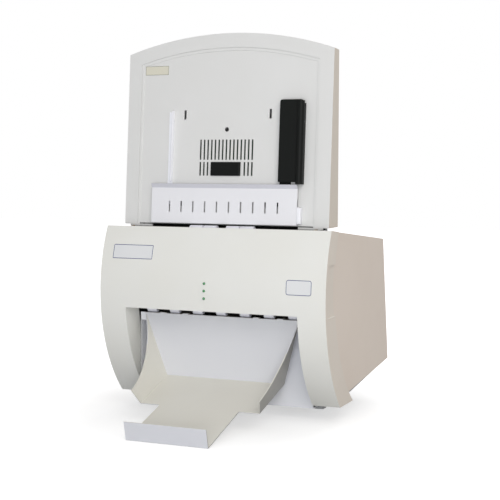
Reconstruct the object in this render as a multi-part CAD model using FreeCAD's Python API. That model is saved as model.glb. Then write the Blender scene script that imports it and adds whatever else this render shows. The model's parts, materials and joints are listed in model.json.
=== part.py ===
import FreeCAD, Part
import math
import os

Vector = FreeCAD.Vector

# X-ray film digitizer: a desk-top case with a curved front bezel, a film feeder
# standing on it and a bent sheet tray that catches the films.
# Millimetres. X is to the right, Y to the back, Z up. While the pieces are made,
# Y = 0 is at the front of the bezel's feet and Z = 0 at their lower edge.

# Case and front bezel
CASE_W = 540.0
BEZEL_LIFT = 40.0
FRONT_R = 336.0
FRONT_BULGE_Y = -93.0
FRONT_BULGE_Z = 237.0
BAND_R = 332.0
BAND_BULGE_Y = -35.0
BAND_BULGE_Z = 261.0
TOP_FRONT_Y = -56.5
TOP_FRONT_Z = 389.0
TOP_DROP = 0.105
BEZEL_WALL = 4.0
BEZEL_TOP_DEPTH = 20.0
COVER_W = CASE_W - 11.4
DRIVE_SPACE = 42.3
FRAME_X = COVER_W / 2 - DRIVE_SPACE
MOUTH_W = 2 * (FRAME_X - 16.0)
MOUTH_H = 208.0
GRIP_LOW_Z = 205.0
GRIP_HIGH_Z = 316.0
GRIP_DEPTH = 3.4
GRIP_INSET = 10.0

# Rear cover, rear panel and base
COVER_WALL = 1.6
COVER_GAP = 0.3
COVER_TUCK = 14.0
COVER_REAR_TOP_Y = 333.0
COVER_REAR_LOW_Y = 379.0
COVER_REAR_LOW_Z = 52.0
COVER_FRONT_LOW_Y = 91.5
COVER_FRONT_LOW_Z = 18.7
SHEET = 2.0
PANEL_INSET = 3.0
PAN_W = 360.0
PAN_FRONT_Y = 100.0
PAN_REAR_Y = 340.0
PAN_FLOOR_Z = -26.0
FOOT_W = 24.0
FOOT_X = 165.0
FOOT_FRONT_Y = 165.0
FOOT_REAR_Y = 318.0

# Feeder: a wedge whose front leans back
FEEDER_W = COVER_W - 31.4
FEEDER_FRONT_Y = -14.0
FEEDER_LOW_Z = 391.0
FEEDER_LEAN = 4.64
FEEDER_SIDE_H = 388.0
FEEDER_ARCH_RISE = 41.0
FEEDER_REAR_LOW_Y = 43.9
FEEDER_REAR_TOP_Y = 48.0
FEEDER_WALL = 3.0
SKIRT_IN = 14.0
SKIRT_W = 57.0
SKIRT_DROP = 3.7
BORDER_W = 32.0
PANEL_LAP = 8.0

# Film stop plate, guides and what is on the feeder panel
STOP_W = 354.0
STOP_LOW = 4.5
STOP_H = 88.0
STOP_LIP_H = 9.0
STOP_LIP_OUT = 6.0
STOP_SHEET = 1.5
STOP_POCKET = 10.0
STOP_SLITS = 10
STOP_SLIT_PITCH = 29.2
STOP_SLIT_W = 3.5
STOP_SLIT_LOW = 29.5
STOP_SLIT_H = 24.0
VENTS = 15
VENT_PITCH = 9.0
VENT_W = 4.0
VENT_LOW = 147.5
VENT_H = 45.0
LOW_VENT_LOW = 112.0
LOW_VENT_H = 30.5
SENSOR_W = 72.6
SENSOR_LOW = 111.5
SENSOR_H = 31.0
SENSOR_OUT = 5.0
PEEP_R = 5.0
PEEP_H = 215.0
KEYHOLE_X = 104.0
KEYHOLE_LOW = 238.0
KEYHOLE_H = 21.0
KEYHOLE_W = 5.5

FILM_W = 262.0
GUIDE_LOW = 98.6
RIGHT_GUIDE_W = 57.0
RIGHT_GUIDE_H = 179.0
RIGHT_GUIDE_T = 10.0
GRIP_ROLL_R = 8.0
LEFT_GUIDE_W = 12.0
LEFT_GUIDE_H = 159.0
LEFT_GUIDE_T = 10.0
SLIDE_GAP = 0.3
GUIDE_OUT = 48.0
GUIDE_IN = 29.0
TONGUE_W = 26.0
TONGUE_T = 2.4
TONGUE_FOOT_W = 8.0
TONGUE_FOOT_IN = 9.0
TONGUE_DROP = 6.0
RACK_LINE = 52.0
GEAR_MODULE = 1.5
GEAR_TEETH = 16
GEAR_BACKLASH = 0.35
GEAR_W = 6.0
GEAR_DEPTH = 12.0
RACK_BACK = 6.0
RACK_PAST = 6.0
ROD_R = 4.0
ROD_H = 88.0
STUD_R = 3.0

# Rollers, shafts and film path
FRAME_TOP_Z = 387.0
SHAFT_R = 4.0
RUN_CLEAR = 0.05
BUSH_HALF = 6.5
BUSH_OUT = 1.5
NIP_GAP = 0.3
ENTRY_Y = -13.0
ENTRY_PINCH_R = 10.0
ENTRY_PINCH_Z = 382.0
ENTRY_DRIVE_R = 8.0
ENTRY_DRIVE_Z = 378.0
ENTRY_ROLLER_W = 32.0
ENTRY_ROLLER_X = (-60.0, -26.0, 29.0, 63.0)
EXIT_DRIVE_R = 9.0
EXIT_PINCH_R = 6.5
EXIT_Y = -21.0
EXIT_Z = 200.0
EXIT_NIP_LEAN = 15.0
EXIT_ROLLERS = 7
EXIT_PITCH = (MOUTH_W - 67.0) / (EXIT_ROLLERS - 1)
EXIT_ROLLER_W = 23.0
PULLEY_SHARE = 1.125
MOTOR_PULLEY_R = 6.0
PULLEY_W = 10.0
BELT_W = 8.0
BELT_T = 1.5
BELT_GAP = 0.3
BELT_X = FRAME_X + 10.0
MOTOR_Y = 95.0
MOTOR_Z = 250.0
MOTOR_SIZE = 42.0
MOTOR_L = 36.0
MOTOR_CORNER = 4.0
SPINDLE_R = 2.5
PATH_Y = 12.0
PATH_TURN_UP = 53.0
PATH_GAP = 3.0
GUIDE_T = 1.5
CHUTE_W = MOUTH_W - 8.0
CHUTE_H = 16.0
CHUTE_WALL_Y = 20.0
CHUTE_LOW_Z = -11.0
CHEEK_LOW_Z = 55.0

# Exit tray
TRAY_T = 2.0
TRAY_TOP = (-31.0, 190.5)
TRAY_TOP_W = CHUTE_W - 30.0
TRAY_FOLD = (-10.0, 45.0)
TRAY_FOLD_W = TRAY_TOP_W - 86.0
TRAY_STEP = (-143.0, 5.0)
TRAY_STEP_W = TRAY_FOLD_W - 6.0
TRAY_TIP_Y = -295.0
TRAY_ARM_W = 188.0
LIP_H = 40.0
LIP_LEAN = 9.0
WING_NOSE_Y = -167.0
WING_NOSE_Z = 37.0
WING_SAG = (-89.6, 85.1)
HOOK_T = 1.5
HOOK_W = 14.0
HOOK_H = 7.0
HOOK_PLACES = (-2.5, -1.5, 1.5, 2.5)

# Optics, electronics and connectors
SCAN_Z = 300.0
LAMP_R = 8.0
LAMP_L = 2 * (FRAME_X - 26.0)
LENS_R = 18.0
CAMERA_Y = 262.0
FAN_SIZE = 80.0
FAN_HUB_R = 16.0
FAN_BLADES = 7
FAN_X = -110.0
FAN_UP = 170.0
INLET_X = 150.0
INLET_UP = 50.0
PORT_X = 20.0
LED_R = 2.9
LED_OUT = 1.2
LED_X = -11.0
LED_Z = (236.5, 253.0, 269.2)


def box(x0, x1, y0, y1, z0, z1):
    return Part.makeBox(x1 - x0, y1 - y0, z1 - z0, Vector(x0, y0, z0))


def rod_x(y, z, r, x0, x1):
    return Part.makeCylinder(r, x1 - x0, Vector(x0, y, z), Vector(1, 0, 0))


def extrude_x(points, x0, x1):
    """A prism along X over a Y-Z outline of straight lines."""
    ring = [Vector(x0, y, z) for y, z in points]
    face = Part.Face(Part.makePolygon(ring + ring[:1]))
    return face.extrude(Vector(x1 - x0, 0, 0))


def extrude_edges(edges, vector):
    return Part.Face(Part.Wire(edges)).extrude(vector)


def line(a, b):
    return Part.LineSegment(a, b).toShape()


def arc(a, b, c):
    return Part.Arc(a, b, c).toShape()


def prism(base, along, radius, sides):
    """A regular bar of a given corner radius from a base point along a vector square to Z."""
    across = along.cross(Vector(0, 0, 1)).normalize()
    turns = [2 * math.pi * (i + 0.5) / sides for i in range(sides)]
    ring = [base + across * (radius * math.cos(t)) + Vector(0, 0, radius * math.sin(t)) for t in turns]
    return Part.Face(Part.makePolygon(ring + ring[:1])).extrude(along)


def hex_bar(y, z, half_flats, x0, x1):
    return prism(Vector(x0, y, z), Vector(x1 - x0, 0, 0), half_flats / math.cos(math.pi / 6), 6)


def fuse(shapes):
    whole = shapes[0]
    for shape in shapes[1:]:
        whole = whole.fuse(shape)
    return whole.removeSplitter()


def cut(shape, tools):
    for tool in tools:
        shape = shape.cut(tool)
    return shape


def mirror_x(shape):
    return shape.mirror(Vector(0, 0, 0), Vector(1, 0, 0))


# Front bezel

def front_y(z, inset=0.0):
    """Y of the bulging front face at a height, or of a face inside it."""
    centre = FRONT_BULGE_Y + FRONT_R
    return centre - math.sqrt((FRONT_R - inset) ** 2 - (z - FRONT_BULGE_Z) ** 2)


def band_y(z, inset=0.0):
    """Y of the rear edge of the bezel's side band at a height."""
    centre = BAND_BULGE_Y + BAND_R
    return centre + inset - math.sqrt(BAND_R ** 2 - (z - BAND_BULGE_Z) ** 2)


def top_z(y):
    """Height of the case's top, which falls towards the rear."""
    return TOP_FRONT_Z - TOP_DROP * (y - TOP_FRONT_Y)


def crescent(x0, x1, z0, z1, rear_inset=0.0):
    """The side view of the bezel between two heights, as a slab along X."""
    mid = (z0 + z1) / 2
    low_f = Vector(x0, front_y(z0), z0)
    mid_f = Vector(x0, front_y(mid), mid)
    high_f = Vector(x0, front_y(z1), z1)
    low_r = Vector(x0, band_y(z0, rear_inset), z0)
    mid_r = Vector(x0, band_y(mid, rear_inset), mid)
    high_r = Vector(x0, band_y(z1, rear_inset), z1)
    edges = [arc(low_f, mid_f, high_f), line(high_f, high_r), arc(high_r, mid_r, low_r), line(low_r, low_f)]
    return extrude_edges(edges, Vector(x1 - x0, 0, 0))


def bezel_cavity(x0, x1, z0, z1):
    """The space behind the front wall, under the top wall."""
    far = PAN_FRONT_Y + 60
    mid = (z0 + z1) / 2
    low = Vector(x0, front_y(z0, BEZEL_WALL), z0)
    middle = Vector(x0, front_y(mid, BEZEL_WALL), mid)
    high = Vector(x0, front_y(z1, BEZEL_WALL), z1)
    edges = [arc(low, middle, high), line(high, Vector(x0, far, z1)),
             line(Vector(x0, far, z1), Vector(x0, far, z0)), line(Vector(x0, far, z0), low)]
    return extrude_edges(edges, Vector(x1 - x0, 0, 0))


def sloped_space(x0, x1, y0, y1, drop):
    """All that lies above the case's top, or above a plane under it."""
    high = TOP_FRONT_Z + 90
    return extrude_x([(y0, top_z(y0) - drop), (y1, top_z(y1) - drop), (y1, high), (y0, high)], x0, x1)


def grip_recess(half, depth, grow=0.0):
    """A shallow finger recess in the bezel's right side, open to the rear."""
    low = GRIP_LOW_Z - grow
    high = GRIP_HIGH_Z + grow
    mid = (low + high) / 2
    front = GRIP_INSET - grow
    a = Vector(half - depth, front_y(low) + front, low)
    b = Vector(half - depth, front_y(mid) + front, mid)
    c = Vector(half - depth, front_y(high) + front, high)
    rear = 60.0
    edges = [arc(a, b, c), line(c, Vector(half - depth, rear, high)),
             line(Vector(half - depth, rear, high), Vector(half - depth, rear, low)),
             line(Vector(half - depth, rear, low), a)]
    return extrude_edges(edges, Vector(depth, 0, 0))


def make_front_bezel():
    half = CASE_W / 2
    mouth = MOUTH_W / 2
    inner = COVER_W / 2 + COVER_GAP
    rise = TOP_FRONT_Z + 1
    body = crescent(-half, half, 0, rise)
    body = body.cut(sloped_space(-half, half, -200, 200, 0))
    body = body.cut(crescent(-mouth, mouth, -1, MOUTH_H, 5))
    upper = bezel_cavity(-inner, inner, MOUTH_H + BEZEL_WALL, rise)
    under_top = sloped_space(-inner, inner, -200, TOP_FRONT_Y + BEZEL_TOP_DEPTH, BEZEL_WALL)
    body = body.cut(upper.cut(under_top))
    leg_low = bezel_cavity(mouth + BEZEL_WALL, inner, BEZEL_WALL, MOUTH_H + BEZEL_WALL)
    body = cut(body, [leg_low, mirror_x(leg_low)])
    recess = grip_recess(half, GRIP_DEPTH)
    body = cut(body, [recess, mirror_x(recess)])
    for z in LED_Z:
        body = body.cut(Part.makeCylinder(LED_R + 0.1, 40, Vector(LED_X, -110, z), Vector(0, 1, 0)))
    return body


def board_y():
    """Y of the front of the small board behind the lights."""
    return front_y(LED_Z[1]) + BEZEL_WALL + 3.3


def make_status_leds():
    leds = []
    for z in LED_Z:
        y0 = front_y(z) - LED_OUT
        leds.append(Part.makeCylinder(LED_R, board_y() - y0, Vector(LED_X, y0, z), Vector(0, 1, 0)))
    return leds


def make_led_board():
    return box(LED_X - 12, LED_X + 12, board_y(), board_y() + 1.6, LED_Z[0] - 12, LED_Z[-1] + 12)


# Base pan, front plate, frames and covers

def floor_z(y):
    """Height of the rear cover's lower edge, which rises to the rear."""
    rise = (COVER_REAR_LOW_Z - COVER_FRONT_LOW_Z) / (COVER_REAR_LOW_Y - COVER_FRONT_LOW_Y)
    return COVER_FRONT_LOW_Z + rise * (y - COVER_FRONT_LOW_Y)


def rear_y(z, inset=0.0):
    """Y of the case's leaning rear face."""
    top = top_z(COVER_REAR_TOP_Y)
    lean = (COVER_REAR_LOW_Y - COVER_REAR_TOP_Y) / (top - COVER_REAR_LOW_Z)
    return COVER_REAR_TOP_Y + lean * (top - z) - inset


def make_base_pan():
    half = PAN_W / 2
    flange = COVER_W / 2 - COVER_WALL - COVER_GAP
    y0 = PAN_FRONT_Y
    y1 = PAN_REAR_Y
    front = COVER_FRONT_LOW_Y + 2
    rear = COVER_REAR_LOW_Y - 10
    tub = extrude_x([(y0, PAN_FLOOR_Z), (y1, PAN_FLOOR_Z), (y1, floor_z(y1) + SHEET), (y0, floor_z(y0) + SHEET)],
                    -half, half)
    hollow = box(-half + SHEET, half - SHEET, y0 + SHEET, y1 - SHEET, PAN_FLOOR_Z + SHEET, 100)
    ledge = extrude_x([(front, floor_z(front)), (rear, floor_z(rear)), (rear, floor_z(rear) + SHEET),
                       (front, floor_z(front) + SHEET)], -flange, flange)
    notch_half = CHUTE_W / 2 + SLIDE_GAP
    notch = box(-notch_half, notch_half, 0, PAN_FRONT_Y, -60, 100)
    return fuse([tub, ledge]).cut(hollow).cut(notch)


def make_rubber_feet():
    half = FOOT_W / 2
    return [box(x - half, x + half, y - half, y + half, -BEZEL_LIFT, PAN_FLOOR_Z)
            for x in (-FOOT_X, FOOT_X) for y in (FOOT_FRONT_Y, FOOT_REAR_Y)]


def chute_front_y():
    """The front plate's face, which the tray's leaning back rests against at its lower corner."""
    return tray_back_y(TRAY_TOP[1] - CHUTE_H - SHEET)


def make_front_plate():
    """The bent white sheet behind the tray: chute front, shelf, wall with two cheeks, and a foot back to the pan."""
    y0, y1 = chute_front_y(), CHUTE_WALL_Y
    far = PAN_FRONT_Y - SLIDE_GAP
    top = TRAY_TOP[1]
    shelf = top - CHUTE_H
    low = CHUTE_LOW_Z
    outline = [(y0, top), (y0, shelf - SHEET), (y1, shelf - SHEET), (y1, low), (far, low), (far, low + SHEET),
               (y1 + SHEET, low + SHEET), (y1 + SHEET, shelf), (y0 + SHEET, shelf), (y0 + SHEET, top)]
    half = CHUTE_W / 2
    cheek = box(half - SHEET, half, y0, y1 + SHEET, CHEEK_LOW_Z, shelf)
    return fuse([extrude_x(outline, -half, half), cheek, mirror_x(cheek)])


def shaft_places():
    """Y and Z of the four shafts; the exit pinch roller leans forward, so the film leaves downwards."""
    exit_gap = EXIT_DRIVE_R + EXIT_PINCH_R + NIP_GAP
    lean = math.radians(EXIT_NIP_LEAN)
    return {"entry_pinch": (ENTRY_Y - ENTRY_PINCH_R - NIP_GAP, ENTRY_PINCH_Z),
            "entry_drive": (ENTRY_Y + ENTRY_DRIVE_R - NIP_GAP, ENTRY_DRIVE_Z),
            "exit_drive": (EXIT_Y, EXIT_Z),
            "exit_pinch": (EXIT_Y - exit_gap * math.sin(lean), EXIT_Z + exit_gap * math.cos(lean))}


def square_bar(y, z, half, x0, x1):
    return box(x0, x1, y - half, y + half, z - half, z + half)


def make_side_frame():
    """The right-hand plate that carries the shafts."""
    low_y = PAN_FRONT_Y + 2
    far = PAN_FRONT_Y + 60
    lift = floor_z(low_y) + SHEET
    far_lift = floor_z(far) + SHEET
    outline = [(-40.0, 352.0), (-32.0, FRAME_TOP_Z), (46.0, FRAME_TOP_Z), (60.0, 345.0), (far, 330.0), (far, far_lift),
               (low_y, lift), (low_y, 178.0), (-33.0, 178.0), (-33.0, 245.0), (-40.0, 252.0)]
    plate = extrude_x(outline, FRAME_X, FRAME_X + SHEET)
    holes = []
    for y, z in list(shaft_places().values()) + [(MOTOR_Y, MOTOR_Z)]:
        holes.append(square_bar(y, z, BUSH_HALF, FRAME_X - 1, FRAME_X + SHEET + 1))
    return cut(plate, holes)


def make_bushes():
    """A square bush snapped into each of the two side frames for each shaft."""
    bushes = []
    for y, z in shaft_places().values():
        block = square_bar(y, z, BUSH_HALF, FRAME_X - BUSH_OUT, FRAME_X + SHEET)
        bush = block.cut(rod_x(y, z, SHAFT_R + RUN_CLEAR, FRAME_X - 9, FRAME_X + 9))
        bushes.append(bush)
        bushes.append(mirror_x(bush))
    return bushes


def cover_front_top():
    """Height at which the cover's tucked front edge meets the case's top."""
    z = TOP_FRONT_Z
    for step in range(8):
        z = top_z(band_y(z, -COVER_TUCK))
    return z


def cover_outline():
    """Side view of the rear cover; its front edge is tucked into the bezel's band."""
    low_z, high_z = floor_z(COVER_FRONT_LOW_Y), cover_front_top()
    mid_z = (low_z + high_z) / 2
    low, mid, high = [Vector(0, band_y(z, -COVER_TUCK), z) for z in (low_z, mid_z, high_z)]
    rear_low = Vector(0, COVER_REAR_LOW_Y, COVER_REAR_LOW_Z)
    rear_top = Vector(0, COVER_REAR_TOP_Y, top_z(COVER_REAR_TOP_Y))
    return [arc(low, mid, high), line(high, rear_top), line(rear_top, rear_low), line(rear_low, low)]


def make_rear_cover():
    half = COVER_W / 2
    shell = extrude_edges(cover_outline(), Vector(COVER_W, 0, 0))
    shell.translate(Vector(-half, 0, 0))
    inside = box(-half + COVER_WALL, half - COVER_WALL, -200, 600, -60, 900)
    below = extrude_x([(-200, -60), (600, -60), (600, top_z(600) - COVER_WALL), (-200, top_z(-200) - COVER_WALL)],
                      -half, half)
    shell = shell.cut(inside.common(below))
    seat = box(-FEEDER_W / 2 - 2, FEEDER_W / 2 + 2, -200, FEEDER_REAR_LOW_Y + 6, 300, 500)
    shell = shell.cut(seat)
    return shell


def rear_frame():
    """Placement of the leaning rear panel: X along the case, Z up the panel."""
    low = Vector(0, rear_y(COVER_REAR_LOW_Z, PANEL_INSET), COVER_REAR_LOW_Z)
    top = top_z(COVER_REAR_TOP_Y)
    lean = math.degrees(math.atan((COVER_REAR_LOW_Y - COVER_REAR_TOP_Y) / (top - COVER_REAR_LOW_Z)))
    return FreeCAD.Placement(low, FreeCAD.Rotation(Vector(1, 0, 0), lean))


def on_rear(shape):
    """Move a piece drawn upright at the origin onto the rear panel's outer face."""
    shape.Placement = rear_frame().multiply(shape.Placement)
    return shape


def rear_height():
    return (top_z(COVER_REAR_TOP_Y) - COVER_REAR_LOW_Z) / math.cos(math.radians(9)) - COVER_WALL - 2


def make_rear_panel():
    half = COVER_W / 2 - COVER_WALL - COVER_GAP
    panel = box(-half, half, -SHEET, 0, 0, rear_height())
    tools = []
    for i in range(9):
        z = FAN_UP - 32 + 8 * i
        reach = math.sqrt(37.0 ** 2 - (z - FAN_UP) ** 2)
        tools.append(box(FAN_X - reach, FAN_X + reach, -9, 9, z - 2, z + 2))
    tools.append(box(INLET_X - 15, INLET_X + 15, -9, 9, INLET_UP - 12, INLET_UP + 12))
    tools.append(box(INLET_X - 55, INLET_X - 25, -9, 9, INLET_UP - 11, INLET_UP + 11))
    for i in range(2):
        tools.append(box(PORT_X - 20, PORT_X + 20, -9, 9, INLET_UP - 8 + 30 * i, INLET_UP + 4 + 30 * i))
    for x in (-220, -180):
        for i in range(8):
            tools.append(box(x - 15, x + 15, -9, 9, 60 + 20 * i, 66 + 20 * i))
    return on_rear(cut(panel, tools))


def make_fan_frame():
    half = FAN_SIZE / 2
    body = box(FAN_X - half, FAN_X + half, -SHEET - 25, -SHEET, FAN_UP - half, FAN_UP + half)
    bore = Part.makeCylinder(half - 2, 60, Vector(FAN_X, -50, FAN_UP), Vector(0, 1, 0))
    hub = prism(Vector(FAN_X, -SHEET - 25, FAN_UP), Vector(0, 4, 0), FAN_HUB_R, 8)
    pin = Part.makeCylinder(2.0, 18, Vector(FAN_X, -SHEET - 25, FAN_UP), Vector(0, 1, 0))
    struts = []
    for angle in (45, 135, 225, 315):
        strut = box(FAN_X + 8, FAN_X + half - 1, -SHEET - 25, -SHEET - 22, FAN_UP - 2, FAN_UP + 2)
        strut.rotate(Vector(FAN_X, 0, FAN_UP), Vector(0, 1, 0), angle)
        struts.append(strut)
    return on_rear(fuse([body.cut(bore), hub, pin] + struts))


def make_fan_impeller():
    base = -SHEET - 20
    hub = prism(Vector(FAN_X, base, FAN_UP), Vector(0, 16, 0), FAN_HUB_R, 2 * FAN_BLADES)
    blades = []
    for i in range(FAN_BLADES):
        blade = box(FAN_X + FAN_HUB_R - 2, FAN_X + FAN_SIZE / 2 - 4, base + 7, base + 8.4, FAN_UP - 9, FAN_UP + 9)
        blade.rotate(Vector(FAN_X, base + 8, FAN_UP), Vector(1, 0, 0), 32)
        blade.rotate(Vector(FAN_X, 0, FAN_UP), Vector(0, 1, 0), 360.0 / FAN_BLADES * i)
        blades.append(blade)
    bore = Part.makeCylinder(2.0 + RUN_CLEAR, 60, Vector(FAN_X, -60, FAN_UP), Vector(0, 1, 0))
    return on_rear(fuse([hub] + blades).cut(bore))


def make_power_inlet():
    flange = box(INLET_X - 18, INLET_X + 18, 0, 2.5, INLET_UP - 15, INLET_UP + 15)
    body = box(INLET_X - 14.7, INLET_X + 14.7, -22, 0, INLET_UP - 11.7, INLET_UP + 11.7)
    hollow = box(INLET_X - 12, INLET_X + 12, -17, 9, INLET_UP - 8, INLET_UP + 8)
    shape = fuse([flange, body]).cut(hollow)
    pins = [box(INLET_X + x - 1, INLET_X + x + 1, -18, -7, INLET_UP - 2 + z, INLET_UP + 2 + z)
            for x, z in ((-7, -1), (0, 2), (7, -1))]
    return on_rear(fuse([shape] + pins))


def make_switch_housing():
    x = INLET_X - 40
    flange = box(x - 17, x + 17, 0, 2.0, INLET_UP - 13, INLET_UP + 13)
    body = box(x - 14.7, x + 14.7, -18, 0, INLET_UP - 10.7, INLET_UP + 10.7)
    hollow = box(x - 12.5, x + 12.5, -16, 9, INLET_UP - 8.5, INLET_UP + 8.5)
    return on_rear(fuse([flange, body]).cut(hollow))


def switch_axis():
    return Vector(INLET_X - 40, -5.0, INLET_UP)


def make_power_rocker():
    """A rocker with a bent face, turned about a pin across its housing."""
    axis = switch_axis()
    reach = 11.2
    half = 8.2
    outline = [Vector(axis.x - reach, -4.5, 0), Vector(axis.x - reach, 3.6, 0), Vector(axis.x, 1.2, 0),
               Vector(axis.x + reach, 3.6, 0), Vector(axis.x + reach, -4.5, 0), Vector(axis.x, -8.5, 0)]
    face = Part.Face(Part.makePolygon(outline + outline[:1]))
    body = face.extrude(Vector(0, 0, 2 * half))
    body.translate(Vector(0, 0, INLET_UP - half))
    body.rotate(axis, Vector(0, 0, 1), 8)
    return on_rear(body)


def make_data_ports():
    ports = []
    for i in range(2):
        z = INLET_UP - 2 + 30 * i
        shell = box(PORT_X - 19.7, PORT_X + 19.7, -14, 5, z - 5.7, z + 5.7)
        plate = box(PORT_X - 26, PORT_X + 26, 0, 1.2, z - 8, z + 8)
        ports.append(on_rear(fuse([shell, plate])))
    return ports


# Feeder

def feeder_frame_placement():
    """X across, Y into the feeder, Z up its leaning front."""
    return FreeCAD.Placement(Vector(0, FEEDER_FRONT_Y, FEEDER_LOW_Z),
                             FreeCAD.Rotation(Vector(1, 0, 0), -FEEDER_LEAN))


def on_feeder(shape):
    shape.Placement = feeder_frame_placement().multiply(shape.Placement)
    return shape


def feeder_outline(inset, y, base):
    """The arched outline of the feeder's front, drawn in from its edge."""
    half = FEEDER_W / 2 - inset
    rise = FEEDER_ARCH_RISE
    chord = FEEDER_W / 2
    radius = (chord ** 2 + rise ** 2) / (2 * rise)
    centre = FEEDER_SIDE_H + rise - radius
    side = centre + math.sqrt((radius - inset) ** 2 - half ** 2)
    top = centre + radius - inset
    a, b = Vector(-half, y, base), Vector(half, y, base)
    c, d = Vector(half, y, side), Vector(-half, y, side)
    return Part.Face(Part.Wire([line(a, b), line(b, c), arc(c, Vector(0, y, top), d), line(d, a)]))


def feeder_wedge(inset, y0, base, rear_inset):
    """The feeder's body in its final place, cut to its upright rear face and level base."""
    slab = on_feeder(feeder_outline(inset, y0, base - 20).extrude(Vector(0, 100, 0)))
    y_low = FEEDER_REAR_LOW_Y - rear_inset
    y_top = FEEDER_REAR_TOP_Y - rear_inset
    z_low = FEEDER_LOW_Z + base
    keep = extrude_x([(-200, z_low), (y_low, z_low), (y_top, z_low + 500), (-200, z_low + 500)], -300, 300)
    return slab.common(keep)


def make_feeder_frame():
    body = feeder_wedge(0, 0, 0, 0)
    inside = feeder_wedge(FEEDER_WALL, FEEDER_WALL, FEEDER_WALL, -50)
    body = body.cut(inside)
    window = on_feeder(feeder_outline(BORDER_W, -10, -20).extrude(Vector(0, 60, 0)))
    near = extrude_x([(-200, 300), (20, 300), (60, 900), (-200, 900)], -300, 300)
    outer = FEEDER_W / 2 - SKIRT_IN
    skirt = box(outer - SKIRT_W, outer, FEEDER_FRONT_Y, FEEDER_FRONT_Y + FEEDER_WALL,
                FEEDER_LOW_Z - SKIRT_DROP, FEEDER_LOW_Z + 1)
    return fuse([body.cut(window.common(near)), skirt, mirror_x(skirt)])


def slit(x, low, width, height, y0=-5.0, y1=60.0):
    return box(x - width / 2, x + width / 2, y0, y1, low, low + height)


def guide_slots():
    """Slots in the feeder panel for the feet of the two guides."""
    reach = TONGUE_FOOT_W / 2 + SLIDE_GAP
    mid = foot_mid(FILM_W / 2)
    low, high = mid - reach - GUIDE_IN, mid + reach + GUIDE_OUT
    right = box(low, high, -5, 60, RACK_LINE - 9, RACK_LINE + 9)
    return [right, mirror_x(right)]


def make_feeder_panel():
    face = FEEDER_WALL
    sheet = on_feeder(feeder_outline(BORDER_W - PANEL_LAP, face, -20).extrude(Vector(0, SHEET, 0)))
    sheet = sheet.common(extrude_x([(-200, FEEDER_LOW_Z + FEEDER_WALL + 0.3), (100, FEEDER_LOW_Z + FEEDER_WALL + 0.3),
                                    (100, 900), (-200, 900)], -300, 300))
    tools = []
    for i in range(VENTS):
        x = VENT_PITCH * (i - (VENTS - 1) / 2)
        tools.append(slit(x, VENT_LOW, VENT_W, VENT_H))
        if abs(x) > SENSOR_W / 2 + VENT_W:
            tools.append(slit(x, LOW_VENT_LOW, VENT_W, LOW_VENT_H))
    tools.append(Part.makeCylinder(PEEP_R, 60, Vector(0, -5, PEEP_H), Vector(0, 1, 0)))
    for x in (-KEYHOLE_X, KEYHOLE_X):
        tools.append(slit(x, KEYHOLE_LOW, KEYHOLE_W, KEYHOLE_H))
    tools += guide_slots()
    return cut(sheet, [on_feeder(tool) for tool in tools])


def make_feeder_back():
    outer = feeder_wedge(FEEDER_WALL + 0.3, 0, FEEDER_WALL + 0.3, 0)
    front = feeder_wedge(-20, -20, -50, SHEET)
    return outer.cut(front)


def make_sensor_block():
    half = SENSOR_W / 2
    y0 = FEEDER_WALL - SENSOR_OUT
    block = box(-half, half, y0, FEEDER_WALL, SENSOR_LOW, SENSOR_LOW + SENSOR_H)
    edges = [e for e in block.Edges if abs(e.CenterOfMass.y - y0) < 0.01]
    return on_feeder(block.makeChamfer(2.0, edges))


def make_film_stop_plate():
    """A bent sheet: front face, flared lip along its top and ends turned back to the panel."""
    back = FEEDER_WALL - STOP_POCKET
    front = back - STOP_SHEET
    half = STOP_W / 2
    top = STOP_LOW + STOP_H - STOP_LIP_H
    lip = [(back, STOP_LOW), (back, top), (back - STOP_LIP_OUT, top + STOP_LIP_H),
           (front - STOP_LIP_OUT, top + STOP_LIP_H), (front, top), (front, STOP_LOW)]
    plate = extrude_x(lip, -half, half)
    clear = tongue_low() - SLIDE_GAP - 1
    ends = [box(x, x + STOP_SHEET, front, FEEDER_WALL, STOP_LOW, clear) for x in (-half, half - STOP_SHEET)]
    tools = [slit(STOP_SLIT_PITCH * (i - (STOP_SLITS - 1) / 2), STOP_SLIT_LOW, STOP_SLIT_W, STOP_SLIT_H, -40, 0)
             for i in range(STOP_SLITS)]
    return on_feeder(cut(fuse([plate] + ends), tools))


def tongue_low():
    """Lower edge of the guides' arms, which pass over the stop plate's turned-back ends."""
    return RACK_LINE - TONGUE_DROP


def foot_mid(inner_x):
    """X of the middle of a guide's foot, which stands behind the film so that the stop plate hides its slot."""
    return inner_x - TONGUE_FOOT_IN


def film_tongue(inner_x, width):
    """The low arm of a guide, behind the stop plate, with a foot through the panel."""
    y1 = FEEDER_WALL - SLIDE_GAP
    low, high = tongue_low(), RACK_LINE + TONGUE_DROP
    left = foot_mid(inner_x) - TONGUE_FOOT_W / 2
    arm = box(inner_x, inner_x + width, y1 - TONGUE_T, y1, low, GUIDE_LOW + 2)
    reach = box(left, inner_x + width, y1 - TONGUE_T, y1, low, high)
    foot = box(left, left + TONGUE_FOOT_W, y1 - TONGUE_T, GEAR_DEPTH, low, high)
    return [arm, reach, foot]


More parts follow.
